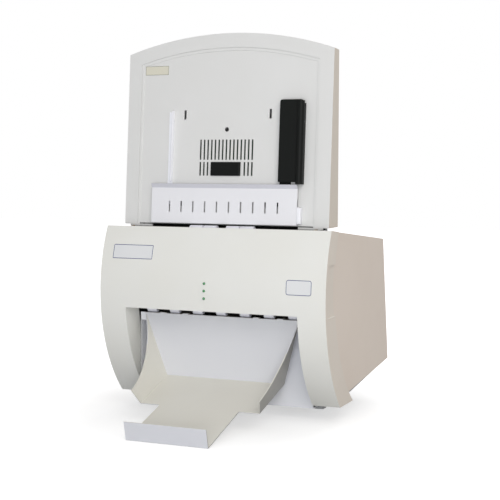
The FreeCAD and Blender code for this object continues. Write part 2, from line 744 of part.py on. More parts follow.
def rack_teeth(pitch_line, up, x_from, x_to):
    """Straight-sided teeth; a gap stands at X = 0, on the pinion's centre line."""
    pitch = math.pi * GEAR_MODULE
    tan = math.tan(math.radians(20))
    width = pitch / 2 - GEAR_BACKLASH
    tip = GEAR_MODULE
    root = 1.25 * GEAR_MODULE
    sign = 1 if up else -1
    teeth = []
    count = int((x_to - x_from) / pitch) + 2
    for i in range(-count, count):
        x = pitch * (i + 0.5)
        if x - width < x_from or x + width > x_to:
            continue
        wide = width / 2 + root * tan
        slim = width / 2 - tip * tan
        z_root = pitch_line - sign * (root + 0.2)
        z_tip = pitch_line + sign * tip
        ring = [Vector(x - wide, GEAR_DEPTH, z_root), Vector(x + wide, GEAR_DEPTH, z_root),
                Vector(x + slim, GEAR_DEPTH, z_tip), Vector(x - slim, GEAR_DEPTH, z_tip)]
        teeth.append(Part.Face(Part.makePolygon(ring + ring[:1])).extrude(Vector(0, GEAR_W, 0)))
    return teeth


def pitch_radius():
    return GEAR_MODULE * GEAR_TEETH / 2


def rack(upper, outer_x):
    """A rack above or below the pinion, from beyond the pinion out to its carriage."""
    inner_x = -(GUIDE_OUT + RACK_PAST)
    sign = 1 if upper else -1
    line_z = RACK_LINE + sign * pitch_radius()
    root_z = line_z + sign * 1.25 * GEAR_MODULE
    low, high = sorted((root_z, root_z + sign * RACK_BACK))
    bar = box(inner_x, outer_x, GEAR_DEPTH, GEAR_DEPTH + GEAR_W, low, high)
    return fuse([bar] + rack_teeth(line_z, not upper, inner_x, GUIDE_IN + 12.0))


def carriage(inner_x, upper):
    """The block that rides on the guide rod and carries the rack and the foot."""
    mid = foot_mid(inner_x)
    half = TONGUE_FOOT_W / 2 + 3
    low = tongue_low() - (0 if upper else pitch_radius() + 4)
    y0 = GEAR_DEPTH
    block = box(mid - half, mid + half, y0, y0 + 16, low, ROD_H + ROD_R + 4)
    bore = Part.makeCylinder(ROD_R + 0.1, 90, Vector(mid - 45, y0 + 9, ROD_H), Vector(1, 0, 0))
    return block.cut(bore)


def make_right_guide():
    x0 = FILM_W / 2
    x1 = x0 + RIGHT_GUIDE_W
    y1 = -SLIDE_GAP
    y0 = y1 - RIGHT_GUIDE_T
    low = GUIDE_LOW
    body = box(x0, x1 - GRIP_ROLL_R, y0, y1, low, low + RIGHT_GUIDE_H)
    corners = [e for e in body.Edges if abs(e.CenterOfMass.z - low - RIGHT_GUIDE_H) < 0.01]
    corners = [e for e in corners if e.Length < RIGHT_GUIDE_W / 2 and e.CenterOfMass.x < x0 + 1]
    body = body.makeFillet(5.0, corners)
    roll = Part.makeCylinder(GRIP_ROLL_R, RIGHT_GUIDE_H + 2, Vector(x1 - GRIP_ROLL_R, y0, low - 5), Vector(0, 0, 1))
    roll = roll.common(box(x0, x1 + 1, y0 - 20, y1, low - 10, low + 300))
    web = box(x1 - 2 * GRIP_ROLL_R, x1, y0, y1, low - 5, low + RIGHT_GUIDE_H - 8)
    rim = box(x0, x0 + FEEDER_WALL, y1 - 1, FEEDER_WALL - SLIDE_GAP, low, low + RIGHT_GUIDE_H - 8)
    root = box(x0, x0 + TONGUE_W, y1 - 1, FEEDER_WALL - SLIDE_GAP, low, low + 20)
    tongue = film_tongue(x0, TONGUE_W)
    upper = rack(True, foot_mid(x0))
    parts = [body, roll, web, rim, root] + tongue + [carriage(x0, True), upper]
    return on_feeder(fuse(parts))


def make_left_guide():
    x0 = FILM_W / 2
    y1 = FEEDER_WALL - SLIDE_GAP
    y0 = y1 - LEFT_GUIDE_T
    low = GUIDE_LOW
    flange = box(x0, x0 + STOP_SHEET, y0, y1, low, low + LEFT_GUIDE_H)
    web = box(x0, x0 + LEFT_GUIDE_W, y1 - STOP_SHEET, y1, low, low + LEFT_GUIDE_H - 3)
    lower = rack(False, foot_mid(x0))
    parts = [flange, web] + film_tongue(x0, LEFT_GUIDE_W) + [carriage(x0, False), lower]
    return on_feeder(mirror_x(fuse(parts)))


def involute(base_r, t):
    return (base_r * (math.cos(t) + t * math.sin(t)), base_r * (math.sin(t) - t * math.cos(t)))


def make_guide_pinion():
    """A spur gear with involute flanks, a tooth standing straight up at rest."""
    rp = pitch_radius()
    base = rp * math.cos(math.radians(20))
    tip = rp + GEAR_MODULE * 0.95
    root = rp - 1.25 * GEAR_MODULE
    inv20 = math.tan(math.radians(20)) - math.radians(20)
    half_angle = math.pi / (2 * GEAR_TEETH) - GEAR_BACKLASH / (4 * rp)
    flank = []
    steps = 1
    t_end = math.sqrt((tip / base) ** 2 - 1)
    for i in range(steps + 1):
        x, y = involute(base, t_end * i / steps)
        r = math.hypot(x, y)
        flank.append((r, half_angle + inv20 - math.atan2(y, x)))
    ring = []
    for tooth in range(GEAR_TEETH):
        centre = math.pi / 2 - 2 * math.pi * tooth / GEAR_TEETH
        foot = flank[0][1]
        left = [(root, foot)] + flank
        for r, a in left:
            ring.append((r, centre + a))
        for r, a in reversed(left):
            ring.append((r, centre - a))
    points = [Vector(r * math.cos(a), GEAR_DEPTH, RACK_LINE + r * math.sin(a)) for r, a in ring]
    disc = Part.Face(Part.makePolygon(points + points[:1])).extrude(Vector(0, GEAR_W, 0))
    bore = Part.makeCylinder(STUD_R + RUN_CLEAR, 60, Vector(0, 0, RACK_LINE), Vector(0, 1, 0))
    return on_feeder(disc.cut(bore))


def make_pinion_stud():
    y0 = FEEDER_WALL + SHEET
    stud = Part.makeCylinder(STUD_R, GEAR_DEPTH + GEAR_W + 5 - y0, Vector(0, y0, RACK_LINE), Vector(0, 1, 0))
    collar = box(-6, 6, y0, GEAR_DEPTH - SLIDE_GAP, RACK_LINE - 6, RACK_LINE + 6)
    return on_feeder(fuse([stud, collar]))


def make_guide_rod():
    half = FEEDER_W / 2 - 30
    return on_feeder(Part.makeCylinder(ROD_R, 2 * half, Vector(-half, GEAR_DEPTH + 9, ROD_H), Vector(1, 0, 0)))


def make_rod_brackets():
    y0 = FEEDER_WALL + SHEET
    half = FEEDER_W / 2 - 30
    bracket = box(half - 6, half - 1, y0, GEAR_DEPTH + 16, ROD_H - 10, ROD_H + 10)
    seat = ROD_R + 0.02
    notch = box(half - 7, half, GEAR_DEPTH + 9 - seat, GEAR_DEPTH + 17, ROD_H - seat, ROD_H + seat)
    bracket = bracket.cut(notch)
    return [on_feeder(mirror_x(bracket)), on_feeder(bracket)]


def make_feeder_board():
    y0 = FEEDER_WALL + SHEET + 0.3
    board = box(-70, 70, y0 + 6, y0 + 7.6, 102, 196)
    posts = [box(x - 3, x + 3, y0, y0 + 6, z - 3, z + 3) for x in (-66, 66) for z in (107, 191)]
    block = box(-30, 30, y0 + 0.3, y0 + 6, 114, 140)
    return on_feeder(fuse([board, block] + posts))


def make_entry_deck():
    """A dark sheet under the feeder, behind the entry rollers, with its rear edge turned up."""
    half = FRAME_X - SLIDE_GAP
    y_drive = shaft_places()["entry_drive"][0]
    y0 = y_drive + ENTRY_DRIVE_R + 1.0
    y1 = FEEDER_REAR_LOW_Y - 2
    z1 = FRAME_TOP_Z - 1.0
    sheet = box(-half, half, y0, y1, z1 - HOOK_T, z1)
    edge = box(-half, half, y1 - HOOK_T, y1, z1 - HOOK_T, FEEDER_LOW_Z - SLIDE_GAP)
    return fuse([sheet, edge])


def make_feeder_seats():
    """Two blocks on the side frames that the feeder stands on."""
    seat = box(FRAME_X - 3, FRAME_X + 3, 0, 40, FRAME_TOP_Z, FEEDER_LOW_Z)
    return [seat, mirror_x(seat)]


# Rollers and drive

def shaft(name, left, right):
    y, z = shaft_places()[name]
    return rod_x(y, z, SHAFT_R, left, right)


def roller(name, x, radius, width):
    """A roller gripped on its shaft by the six flats of its bore."""
    y, z = shaft_places()[name]
    wheel = rod_x(y, z, radius, x - width / 2, x + width / 2)
    return wheel.cut(hex_bar(y, z, SHAFT_R, x - width, x + width))


def pulley_radius(name):
    """Pulleys in proportion to the rollers, so that all rollers move the film at one speed."""
    rollers = {"entry_drive": ENTRY_DRIVE_R, "exit_drive": EXIT_DRIVE_R}
    return PULLEY_SHARE * rollers[name]


def shaft_pulley(name):
    return roller(name, BELT_X, pulley_radius(name), PULLEY_W)


def pulley_circle(name, grow):
    return shaft_places()[name] + (pulley_radius(name) + grow,)


def entry_pinch_rollers():
    return [roller("entry_pinch", x, ENTRY_PINCH_R, ENTRY_ROLLER_W) for x in ENTRY_ROLLER_X]


def entry_drive_roller():
    """One long roller behind the four pinch rollers."""
    return roller("entry_drive", 0, ENTRY_DRIVE_R, ENTRY_ROLLER_X[-1] - ENTRY_ROLLER_X[0] + ENTRY_ROLLER_W)


def exit_drive_rollers():
    return [roller("exit_drive", EXIT_PITCH * (i - (EXIT_ROLLERS - 1) / 2), EXIT_DRIVE_R, EXIT_ROLLER_W)
            for i in range(EXIT_ROLLERS)]


def exit_pinch_roller():
    """One long roller above the row of exit rollers."""
    return roller("exit_pinch", 0, EXIT_PINCH_R, EXIT_PITCH * (EXIT_ROLLERS - 1) + EXIT_ROLLER_W)


def tangent_points(a, b):
    """Where the outer tangent of two circles, taken clockwise, touches each of them."""
    (ya, za, ra), (yb, zb, rb) = a, b
    gap = math.hypot(yb - ya, zb - za)
    dy, dz = (yb - ya) / gap, (zb - za) / gap
    lean = (ra - rb) / gap
    side = math.sqrt(1 - lean ** 2)
    ny, nz = -dz * side + dy * lean, dy * side + dz * lean
    return (ya + ra * ny, za + ra * nz), (yb + rb * ny, zb + rb * nz), (ny, nz)


def belt_outline(circles):
    """A belt's run clockwise round its pulleys, as one closed outline."""
    count = len(circles)
    runs = [tangent_points(circles[i], circles[(i + 1) % count]) for i in range(count)]
    edges = []
    x = BELT_X - BELT_W / 2
    for i in range(count):
        start, end, normal = runs[i]
        edges.append(line(Vector(x, *start), Vector(x, *end)))
        y, z, r = circles[(i + 1) % count]
        ny, nz = normal
        my, mz = runs[(i + 1) % count][2]
        sy, sz = ny + my, nz + mz
        size = math.hypot(sy, sz)
        middle = Vector(x, y + r * sy / size, z + r * sz / size)
        following = runs[(i + 1) % count][0]
        edges.append(arc(Vector(x, *end), middle, Vector(x, *following)))
    return Part.Wire(edges)


def belt_between(outer, inner):
    outside = Part.Face(belt_outline(outer)).extrude(Vector(BELT_W, 0, 0))
    return outside.cut(Part.Face(belt_outline(inner)).extrude(Vector(BELT_W, 0, 0)))


def main_belt_circles(grow):
    """Exit shaft, entry shaft and motor, on the right side."""
    return [pulley_circle("exit_drive", grow), pulley_circle("entry_drive", grow),
            (MOTOR_Y, MOTOR_Z, MOTOR_PULLEY_R + grow)]


def make_timing_belt():
    return belt_between(main_belt_circles(BELT_GAP + BELT_T), main_belt_circles(BELT_GAP))


def make_drive_motor():
    half = MOTOR_SIZE / 2
    x1 = FRAME_X - SLIDE_GAP
    body = box(x1 - MOTOR_L, x1, MOTOR_Y - half, MOTOR_Y + half, MOTOR_Z - half, MOTOR_Z + half)
    corners = [e for e in body.Edges if abs(e.Length - MOTOR_L) < 0.01]
    body = body.makeChamfer(MOTOR_CORNER, corners)
    return body.cut(rod_x(MOTOR_Y, MOTOR_Z, SPINDLE_R + RUN_CLEAR, x1 - MOTOR_L / 2, x1 + 1))


def make_motor_spindle():
    """The motor's spindle with its pulley, which has a flange at its outer end."""
    end = BELT_X + PULLEY_W / 2
    drum = rod_x(MOTOR_Y, MOTOR_Z, MOTOR_PULLEY_R, BELT_X - PULLEY_W / 2, end)
    flange = rod_x(MOTOR_Y, MOTOR_Z, MOTOR_PULLEY_R + BELT_T + BELT_GAP, end, end + 1)
    spindle = rod_x(MOTOR_Y, MOTOR_Z, SPINDLE_R, FRAME_X - MOTOR_L / 2 + 1, BELT_X)
    return fuse([drum, flange, spindle])


# Film path

def path_points(shift):
    """The film's path in side view, moved sideways: down, straight past the scan line, then forward."""
    y0, z0 = ENTRY_Y + 1.0, 364.0
    bend_z = 330.0
    turn_z = EXIT_Z + PATH_TURN_UP
    radius = 40.0
    dy, dz = PATH_Y - y0, bend_z - z0
    size = math.hypot(dy, dz)
    ty, tz = dy / size, dz / size
    ny, nz = -tz, ty
    start = (y0 + shift * ny, z0 + shift * nz)
    t = (PATH_Y + shift - start[0]) / ty
    bend = (PATH_Y + shift, start[1] + t * tz)
    turn = (PATH_Y + shift, turn_z)
    cy = PATH_Y - radius
    end_angle = math.radians(52)
    arc_r = radius + shift
    mid = (cy + arc_r * math.cos(end_angle / 2), turn_z - arc_r * math.sin(end_angle / 2))
    end = (cy + arc_r * math.cos(end_angle), turn_z - arc_r * math.sin(end_angle))
    return start, bend, turn, mid, end


def path_sheet(near, far, half):
    a = [Vector(-half, *p) for p in path_points(near)]
    b = [Vector(-half, *p) for p in path_points(far)]
    edges = [line(a[0], a[1]), line(a[1], a[2]), arc(a[2], a[3], a[4]), line(a[4], b[4]),
             arc(b[4], b[3], b[2]), line(b[2], b[1]), line(b[1], b[0]), line(b[0], a[0])]
    return extrude_edges(edges, Vector(2 * half, 0, 0))


def make_rear_film_guide():
    half = FRAME_X - SLIDE_GAP
    sheet = path_sheet(PATH_GAP / 2, PATH_GAP / 2 + GUIDE_T, half)
    return sheet.cut(box(-190, 190, 0, 40, SCAN_Z - 2, SCAN_Z + 2))


def make_front_film_guide():
    half = FRAME_X - SLIDE_GAP
    sheet = path_sheet(-PATH_GAP / 2 - GUIDE_T, -PATH_GAP / 2, half)
    return sheet.cut(box(-190, 190, 0, 40, SCAN_Z - 4, SCAN_Z + 4))


# Optics and electronics

def make_lamp_housing():
    half = FRAME_X - SLIDE_GAP
    y1 = PATH_Y - PATH_GAP / 2 - GUIDE_T - SLIDE_GAP
    outline = [(y1, SCAN_Z - 18), (y1 - 44, SCAN_Z - 18), (y1 - 56, SCAN_Z - 8), (y1 - 56, SCAN_Z + 8),
               (y1 - 44, SCAN_Z + 18), (y1, SCAN_Z + 18)]
    inner = [(y1 + 1, SCAN_Z - 16), (y1 - 43, SCAN_Z - 16), (y1 - 54, SCAN_Z - 7), (y1 - 54, SCAN_Z + 7),
             (y1 - 43, SCAN_Z + 16), (y1 + 1, SCAN_Z + 16)]
    return extrude_x(outline, -half, half).cut(extrude_x(inner, -half + 2, half - 2))


def make_lamp_tube():
    y = PATH_Y - 36
    return rod_x(y, SCAN_Z, LAMP_R, -LAMP_L / 2, LAMP_L / 2)


def make_lamp_sockets():
    half = FRAME_X - SLIDE_GAP - 2
    y = PATH_Y - 36
    socket = box(LAMP_L / 2 - 10, half - 0.1, y - 10, y + 12, SCAN_Z - 15.9, SCAN_Z + 12)
    socket = socket.cut(square_bar(y, SCAN_Z, LAMP_R + 0.1, LAMP_L / 2 - 20, LAMP_L / 2 + 0.1))
    return [socket, mirror_x(socket)]


def taper(y0, w0, h0, y1, w1, h1):
    """A closed tapering block between two upright rectangles."""
    block = Part.makeWedge(-w0 / 2, 0, -h0 / 2, -h1 / 2, -w1 / 2, w0 / 2, y1 - y0, h0 / 2, h1 / 2, w1 / 2)
    block.translate(Vector(0, y0, SCAN_Z))
    return block


def hood_start():
    return PATH_Y + PATH_GAP / 2 + GUIDE_T + SLIDE_GAP


def make_optics_hood():
    y0 = hood_start()
    y1 = CAMERA_Y - 22 - SLIDE_GAP
    outer = taper(y0, 384, 18, y1, 56, 56)
    inner = taper(y0 - 0.01, 380, 14, y1 + 0.01, 52, 52)
    return outer.cut(inner)


def make_lens():
    barrel = Part.makeCylinder(LENS_R, 22, Vector(0, CAMERA_Y - 22, SCAN_Z), Vector(0, 1, 0))
    half = LENS_R + 6
    return fuse([barrel, box(-half, half, CAMERA_Y - 8, CAMERA_Y, SCAN_Z - half, SCAN_Z + half)])


def make_camera_housing():
    return box(-45, 45, CAMERA_Y, CAMERA_Y + 56, SCAN_Z - 32, SCAN_Z + 32)


def make_camera_bracket():
    """A folded stand from the base pan up to the camera."""
    z0 = PAN_FLOOR_Z + SHEET
    z1 = SCAN_Z - 32
    y0, y1 = CAMERA_Y, CAMERA_Y + 56
    outer = box(-55, 55, y0, y1, z0, z1)
    return outer.cut(box(-55 + SHEET, 55 - SHEET, y0 - 1, y1 + 1, z0 + SHEET, z1 - SHEET))


def make_power_supply():
    z0 = PAN_FLOOR_Z + SHEET
    case = box(70, 170, 150, 330, z0, z0 + 52)
    slots = [box(80, 160, 160 + 12 * i, 165 + 12 * i, z0 + 50, z0 + 60) for i in range(13)]
    return cut(case, slots)


def make_main_board():
    z0 = PAN_FLOOR_Z + SHEET
    board = box(-170, -66, 112, 328, z0 + 8, z0 + 9.6)
    posts = [box(x - 3, x + 3, y - 3, y + 3, z0, z0 + 8) for x in (-164, -72) for y in (118, 322)]
    chips = [box(x, x + w, y, y + d, z0 + 9.6, z0 + 9.6 + h)
             for x, y, w, d, h in ((-150, 140, 32, 32, 3), (-105, 150, 24, 40, 3), (-155, 200, 50, 14, 12),
                                   (-100, 220, 22, 22, 3), (-150, 260, 60, 20, 16))]
    return fuse([board] + posts + chips)


# Exit tray

def tray_vertices():
    slope = (TRAY_FOLD[1] - TRAY_STEP[1]) / (TRAY_FOLD[0] - TRAY_STEP[0])
    tip_z = -BEZEL_LIFT + TRAY_T / 2
    p = {}
    for side, s in (("l", -1), ("r", 1)):
        p["top" + side] = Vector(s * TRAY_TOP_W / 2, *TRAY_TOP)
        p["fold" + side] = Vector(s * TRAY_FOLD_W / 2, *TRAY_FOLD)
        p["step" + side] = Vector(s * TRAY_STEP_W / 2, *TRAY_STEP)
        p["neck" + side] = Vector(s * TRAY_ARM_W / 2, *TRAY_STEP)
        p["tip" + side] = Vector(s * TRAY_ARM_W / 2, TRAY_TIP_Y, tip_z)
        p["lip" + side] = Vector(s * TRAY_ARM_W / 2, TRAY_TIP_Y - LIP_LEAN, tip_z + LIP_H)
    return p, slope


def wing_point(p, y, z):
    """The point at a given Y and Z in the plane of the right wing."""
    a, b, c = p["stepr"], p["foldr"], p["topr"]
    normal = (a - b).cross(c - b)
    x = b.x - (normal.y * (y - b.y) + normal.z * (z - b.z)) / normal.x
    return Vector(x, y, z)


def plate_from(edges):
    """A flat sheet of the tray's thickness about a face."""
    face = Part.Face(Part.Wire(edges))
    normal = face.normalAt(0, 0)
    slab = face.copy()
    slab.translate(normal * (-TRAY_T / 2))
    return slab.extrude(normal * TRAY_T)


def polygon_plate(points):
    return plate_from([line(points[i], points[(i + 1) % len(points)]) for i in range(len(points))])


def fold(a, b):
    """The bend between two panels, as an eight-sided bar on the fold line."""
    bar = prism(Vector(0, 0, 0), Vector(0, (b - a).Length, 0), TRAY_T / 2, 8)
    bar.Placement = FreeCAD.Placement(a, FreeCAD.Rotation(Vector(0, 1, 0), b - a))
    return bar


def tray_wing(p):
    nose = wing_point(p, WING_NOSE_Y, WING_NOSE_Z)
    sag = wing_point(p, *WING_SAG)
    free = Part.Arc(nose, sag, p["topr"]).toShape()
    edges = [line(p["topr"], p["foldr"]), line(p["foldr"], p["stepr"]), line(p["stepr"], nose), free]
    return plate_from(edges)


def make_exit_tray():
    p, slope = tray_vertices()
    back = polygon_plate([p["topl"], p["topr"], p["foldr"], p["foldl"]])
    floor = polygon_plate([p["foldl"], p["foldr"], p["stepr"], p["stepl"]])
    arm = polygon_plate([p["neckl"], p["neckr"], p["tipr"], p["tipl"]])
    lip = polygon_plate([p["tipl"], p["tipr"], p["lipr"], p["lipl"]])
    wing = tray_wing(p)
    bends = [fold(p["foldl"], p["foldr"]), fold(p["stepl"], p["stepr"]), fold(p["tipl"], p["tipr"])]
    side_bends = []
    for side in ("l", "r"):
        side_bends.append(fold(p["top" + side], p["fold" + side]))
        side_bends.append(fold(p["fold" + side], p["step" + side]))
    return fuse([back, floor, arm, lip, wing, mirror_x(wing)] + bends + side_bends + tray_hooks())


def tray_hooks():
    """Tabs bent back over the front plate's top edge, between the exit rollers."""
    y_face, z_top = TRAY_TOP
    y_plate = chute_front_y()
    low = z_top + SLIDE_GAP
    high = low + HOOK_T
    behind = y_plate + SHEET + SLIDE_GAP
    hooks = []
    for share in HOOK_PLACES:
        x0, x1 = EXIT_PITCH * share - HOOK_W / 2, EXIT_PITCH * share + HOOK_W / 2
        hooks.append(box(x0, x1, y_face - TRAY_T / 2, y_face + TRAY_T / 2, z_top - 2, high))
        hooks.append(box(x0, x1, y_face - TRAY_T / 2, behind + HOOK_T, low, high))
        hooks.append(box(x0, x1, behind, behind + HOOK_T, z_top - HOOK_H, high))
    return hooks


def tray_back_y(z):
    """Y just behind the tray's back plate at a height."""
    share = (TRAY_TOP[1] - z) / (TRAY_TOP[1] - TRAY_FOLD[1])
    return TRAY_TOP[0] + share * (TRAY_FOLD[0] - TRAY_TOP[0]) + TRAY_T / 2 + SLIDE_GAP


# All pieces

def build_base():
    frame = make_side_frame()
    return {"front_bezel": [make_front_bezel()], "status_leds": make_status_leds(),
            "led_board": [make_led_board()], "base_pan": [make_base_pan()], "rubber_feet": make_rubber_feet(),
            "front_plate": [make_front_plate()], "right_side_frame": [frame],
            "left_side_frame": [mirror_x(frame)], "shaft_bushes": make_bushes(),
            "rear_cover": [make_rear_cover()], "rear_panel": [make_rear_panel()],
            "fan_frame": [make_fan_frame()], "fan_impeller": [make_fan_impeller()],
            "power_inlet": [make_power_inlet()], "switch_housing": [make_switch_housing()],
            "power_rocker": [make_power_rocker()], "data_ports": make_data_ports(),
            "exit_tray": [make_exit_tray()]}


def build_feeder():
    return {"feeder_frame": [make_feeder_frame()], "feeder_panel": [make_feeder_panel()],
            "feeder_back": [make_feeder_back()], "sensor_block": [make_sensor_block()],
            "film_stop_plate": [make_film_stop_plate()], "right_film_guide": [make_right_guide()],
            "left_film_guide": [make_left_guide()], "guide_pinion": [make_guide_pinion()],
            "pinion_stud": [make_pinion_stud()], "guide_rod": [make_guide_rod()],
            "rod_brackets": make_rod_brackets(), "feeder_board": [make_feeder_board()],
            "feeder_seats": make_feeder_seats(), "entry_deck": [make_entry_deck()]}


def build_transport():
    reach = FRAME_X + SHEET + 2
    drive_end = BELT_X + PULLEY_W / 2 + 3
    return {"entry_pinch_shaft": [shaft("entry_pinch", -reach, reach)],
            "entry_pinch_rollers": entry_pinch_rollers(),
            "entry_drive_shaft": [shaft("entry_drive", -reach, drive_end)],
            "entry_drive_rollers": [entry_drive_roller()],
            "entry_pulley": [shaft_pulley("entry_drive")],
            "exit_drive_shaft": [shaft("exit_drive", -reach, drive_end)],
            "exit_drive_rollers": exit_drive_rollers(),
            "exit_pulley": [shaft_pulley("exit_drive")],
            "exit_pinch_shaft": [shaft("exit_pinch", -reach, reach)],
            "exit_pinch_rollers": [exit_pinch_roller()],
            "timing_belt": [make_timing_belt()], "drive_motor": [make_drive_motor()],
            "motor_pulley": [make_motor_spindle()], "rear_film_guide": [make_rear_film_guide()],
            "front_film_guide": [make_front_film_guide()]}


def build_optics():
    return {"lamp_housing": [make_lamp_housing()], "lamp_tube": [make_lamp_tube()],
            "lamp_sockets": make_lamp_sockets(), "optics_hood": [make_optics_hood()], "lens": [make_lens()],
            "camera_housing": [make_camera_housing()], "camera_bracket": [make_camera_bracket()],
            "power_supply": [make_power_supply()], "main_board": [make_main_board()]}


def main():
    nodes = {}
    for group in (build_base(), build_feeder(), build_transport(), build_optics()):
        nodes.update(group)
    solids = [solid for group in nodes.values() for solid in group]
    extent = Part.makeCompound(solids).BoundBox
    shift = Vector(0, -(extent.YMin + extent.YMax) / 2, -extent.ZMin)
    os.makedirs("parts", exist_ok=True)
    for name, group in nodes.items():
        shape = group[0] if len(group) == 1 else Part.makeCompound(group)
        shape = shape.copy()
        shape.translate(shift)
        shape.exportStep("parts/" + name + ".step")
    print("pieces", len(nodes), "solids", len(solids))
    print("size", round(extent.XLength, 3), round(extent.YLength, 3), round(extent.ZLength, 3))
    print("moved by", round(shift.y, 3), round(shift.z, 3))


main()
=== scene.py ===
"""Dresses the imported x-ray film digitizer for a studio picture.

Metres, in the frame's own axes: X to the right, Y to the back, Z up from the table. Sizes that belong to the
product's own sub-assemblies are fields of their classes; places are taken from the frame wherever it has them.
"""

import json
import logging
import math
from collections.abc import Callable
from dataclasses import dataclass, field
from enum import Enum

import bmesh
import bpy
from mathutils import Matrix, Vector

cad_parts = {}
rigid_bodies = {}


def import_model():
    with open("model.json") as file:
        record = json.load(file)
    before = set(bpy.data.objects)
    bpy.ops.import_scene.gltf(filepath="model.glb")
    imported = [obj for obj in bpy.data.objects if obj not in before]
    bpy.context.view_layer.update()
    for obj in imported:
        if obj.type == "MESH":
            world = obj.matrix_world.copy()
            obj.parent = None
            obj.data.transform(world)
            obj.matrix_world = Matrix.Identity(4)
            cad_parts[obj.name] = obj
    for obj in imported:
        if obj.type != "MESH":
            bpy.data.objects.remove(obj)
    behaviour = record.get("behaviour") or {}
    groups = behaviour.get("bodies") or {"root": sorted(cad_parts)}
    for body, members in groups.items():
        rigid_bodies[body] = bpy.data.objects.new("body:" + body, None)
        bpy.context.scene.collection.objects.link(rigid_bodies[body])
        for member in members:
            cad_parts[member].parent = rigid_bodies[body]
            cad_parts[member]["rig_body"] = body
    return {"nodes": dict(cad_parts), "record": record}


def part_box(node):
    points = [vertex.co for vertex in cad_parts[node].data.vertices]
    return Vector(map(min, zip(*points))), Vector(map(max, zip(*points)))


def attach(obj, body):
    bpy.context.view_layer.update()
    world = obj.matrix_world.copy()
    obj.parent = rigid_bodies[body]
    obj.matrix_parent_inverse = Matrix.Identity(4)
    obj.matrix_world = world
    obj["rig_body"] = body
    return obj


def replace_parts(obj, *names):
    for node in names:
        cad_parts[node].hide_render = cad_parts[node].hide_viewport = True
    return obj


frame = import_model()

log = logging.getLogger("digitizer")
MM = 0.001


class Grain(Enum):
    """The kinds of relief that the finishes have."""

    SPARKED = "sparked"
    POWDER = "powder"
    BRUSHED = "brushed"
    SMOOTH = "smooth"


def srgb(red: float, green: float, blue: float) -> tuple[float, float, float, float]:
    """Turns a display colour of 0 to 255 into the linear colour that shaders take.

    Args:
        red: Red, 0 to 255.
        green: Green, 0 to 255.
        blue: Blue, 0 to 255.

    Returns:
        Linear red, green, blue and an alpha of 1.
    """

    def linear(value: float) -> float:
        """One channel."""
        share = value / 255.0
        return share / 12.92 if share <= 0.04045 else ((share + 0.055) / 1.055) ** 2.4

    return (linear(red), linear(green), linear(blue), 1.0)


# Shader node groups, each made once and placed in many materials


@dataclass
class EffectGroup:
    """A shader node group with named sockets, made on first use."""

    name: str
    inputs: tuple[tuple[str, str, float], ...]
    outputs: tuple[tuple[str, str], ...]
    fill: Callable[[bpy.types.NodeTree, bpy.types.Node, bpy.types.Node], None]

    def tree(self) -> bpy.types.NodeTree:
        """Gives the group's node tree.

        Returns:
            The node tree, built if it isn't there yet.
        """
        found = bpy.data.node_groups.get(self.name)
        if found is not None:
            return found
        tree = bpy.data.node_groups.new(self.name, "ShaderNodeTree")
        for label, kind, value in self.inputs:
            socket = tree.interface.new_socket(name=label, in_out="INPUT", socket_type=kind)
            if kind == "NodeSocketFloat":
                socket.default_value = value
        for label, kind in self.outputs:
            tree.interface.new_socket(name=label, in_out="OUTPUT", socket_type=kind)
        start = tree.nodes.new("NodeGroupInput")
        end = tree.nodes.new("NodeGroupOutput")
        self.fill(tree, start, end)
        return tree


def fill_grain(tree: bpy.types.NodeTree, start: bpy.types.Node, end: bpy.types.Node) -> None:
    """Fine pits and hillocks of two sizes, as a normal.

    Args:
        tree: The group's tree.
        start: Its input node.
        end: Its output node.
    """
    fine = tree.nodes.new("ShaderNodeTexNoise")
    fine.inputs["Detail"].default_value = 3.0
    coarse = tree.nodes.new("ShaderNodeTexNoise")
    third = tree.nodes.new("ShaderNodeMath")
    third.operation = "MULTIPLY"
    third.inputs[1].default_value = 0.3
    both = tree.nodes.new("ShaderNodeMath")
    bump = tree.nodes.new("ShaderNodeBump")
    bump.inputs["Distance"].default_value = 0.0004
    tree.links.new(start.outputs["Position"], fine.inputs["Vector"])
    tree.links.new(start.outputs["Position"], coarse.inputs["Vector"])
    tree.links.new(start.outputs["Scale"], fine.inputs["Scale"])
    tree.links.new(start.outputs["Scale"], third.inputs[0])
    tree.links.new(third.outputs[0], coarse.inputs["Scale"])
    tree.links.new(fine.outputs["Fac"], both.inputs[0])
    tree.links.new(coarse.outputs["Fac"], both.inputs[1])
    tree.links.new(both.outputs[0], bump.inputs["Height"])
    tree.links.new(start.outputs["Depth"], bump.inputs["Strength"])
    tree.links.new(bump.outputs["Normal"], end.inputs["Normal"])


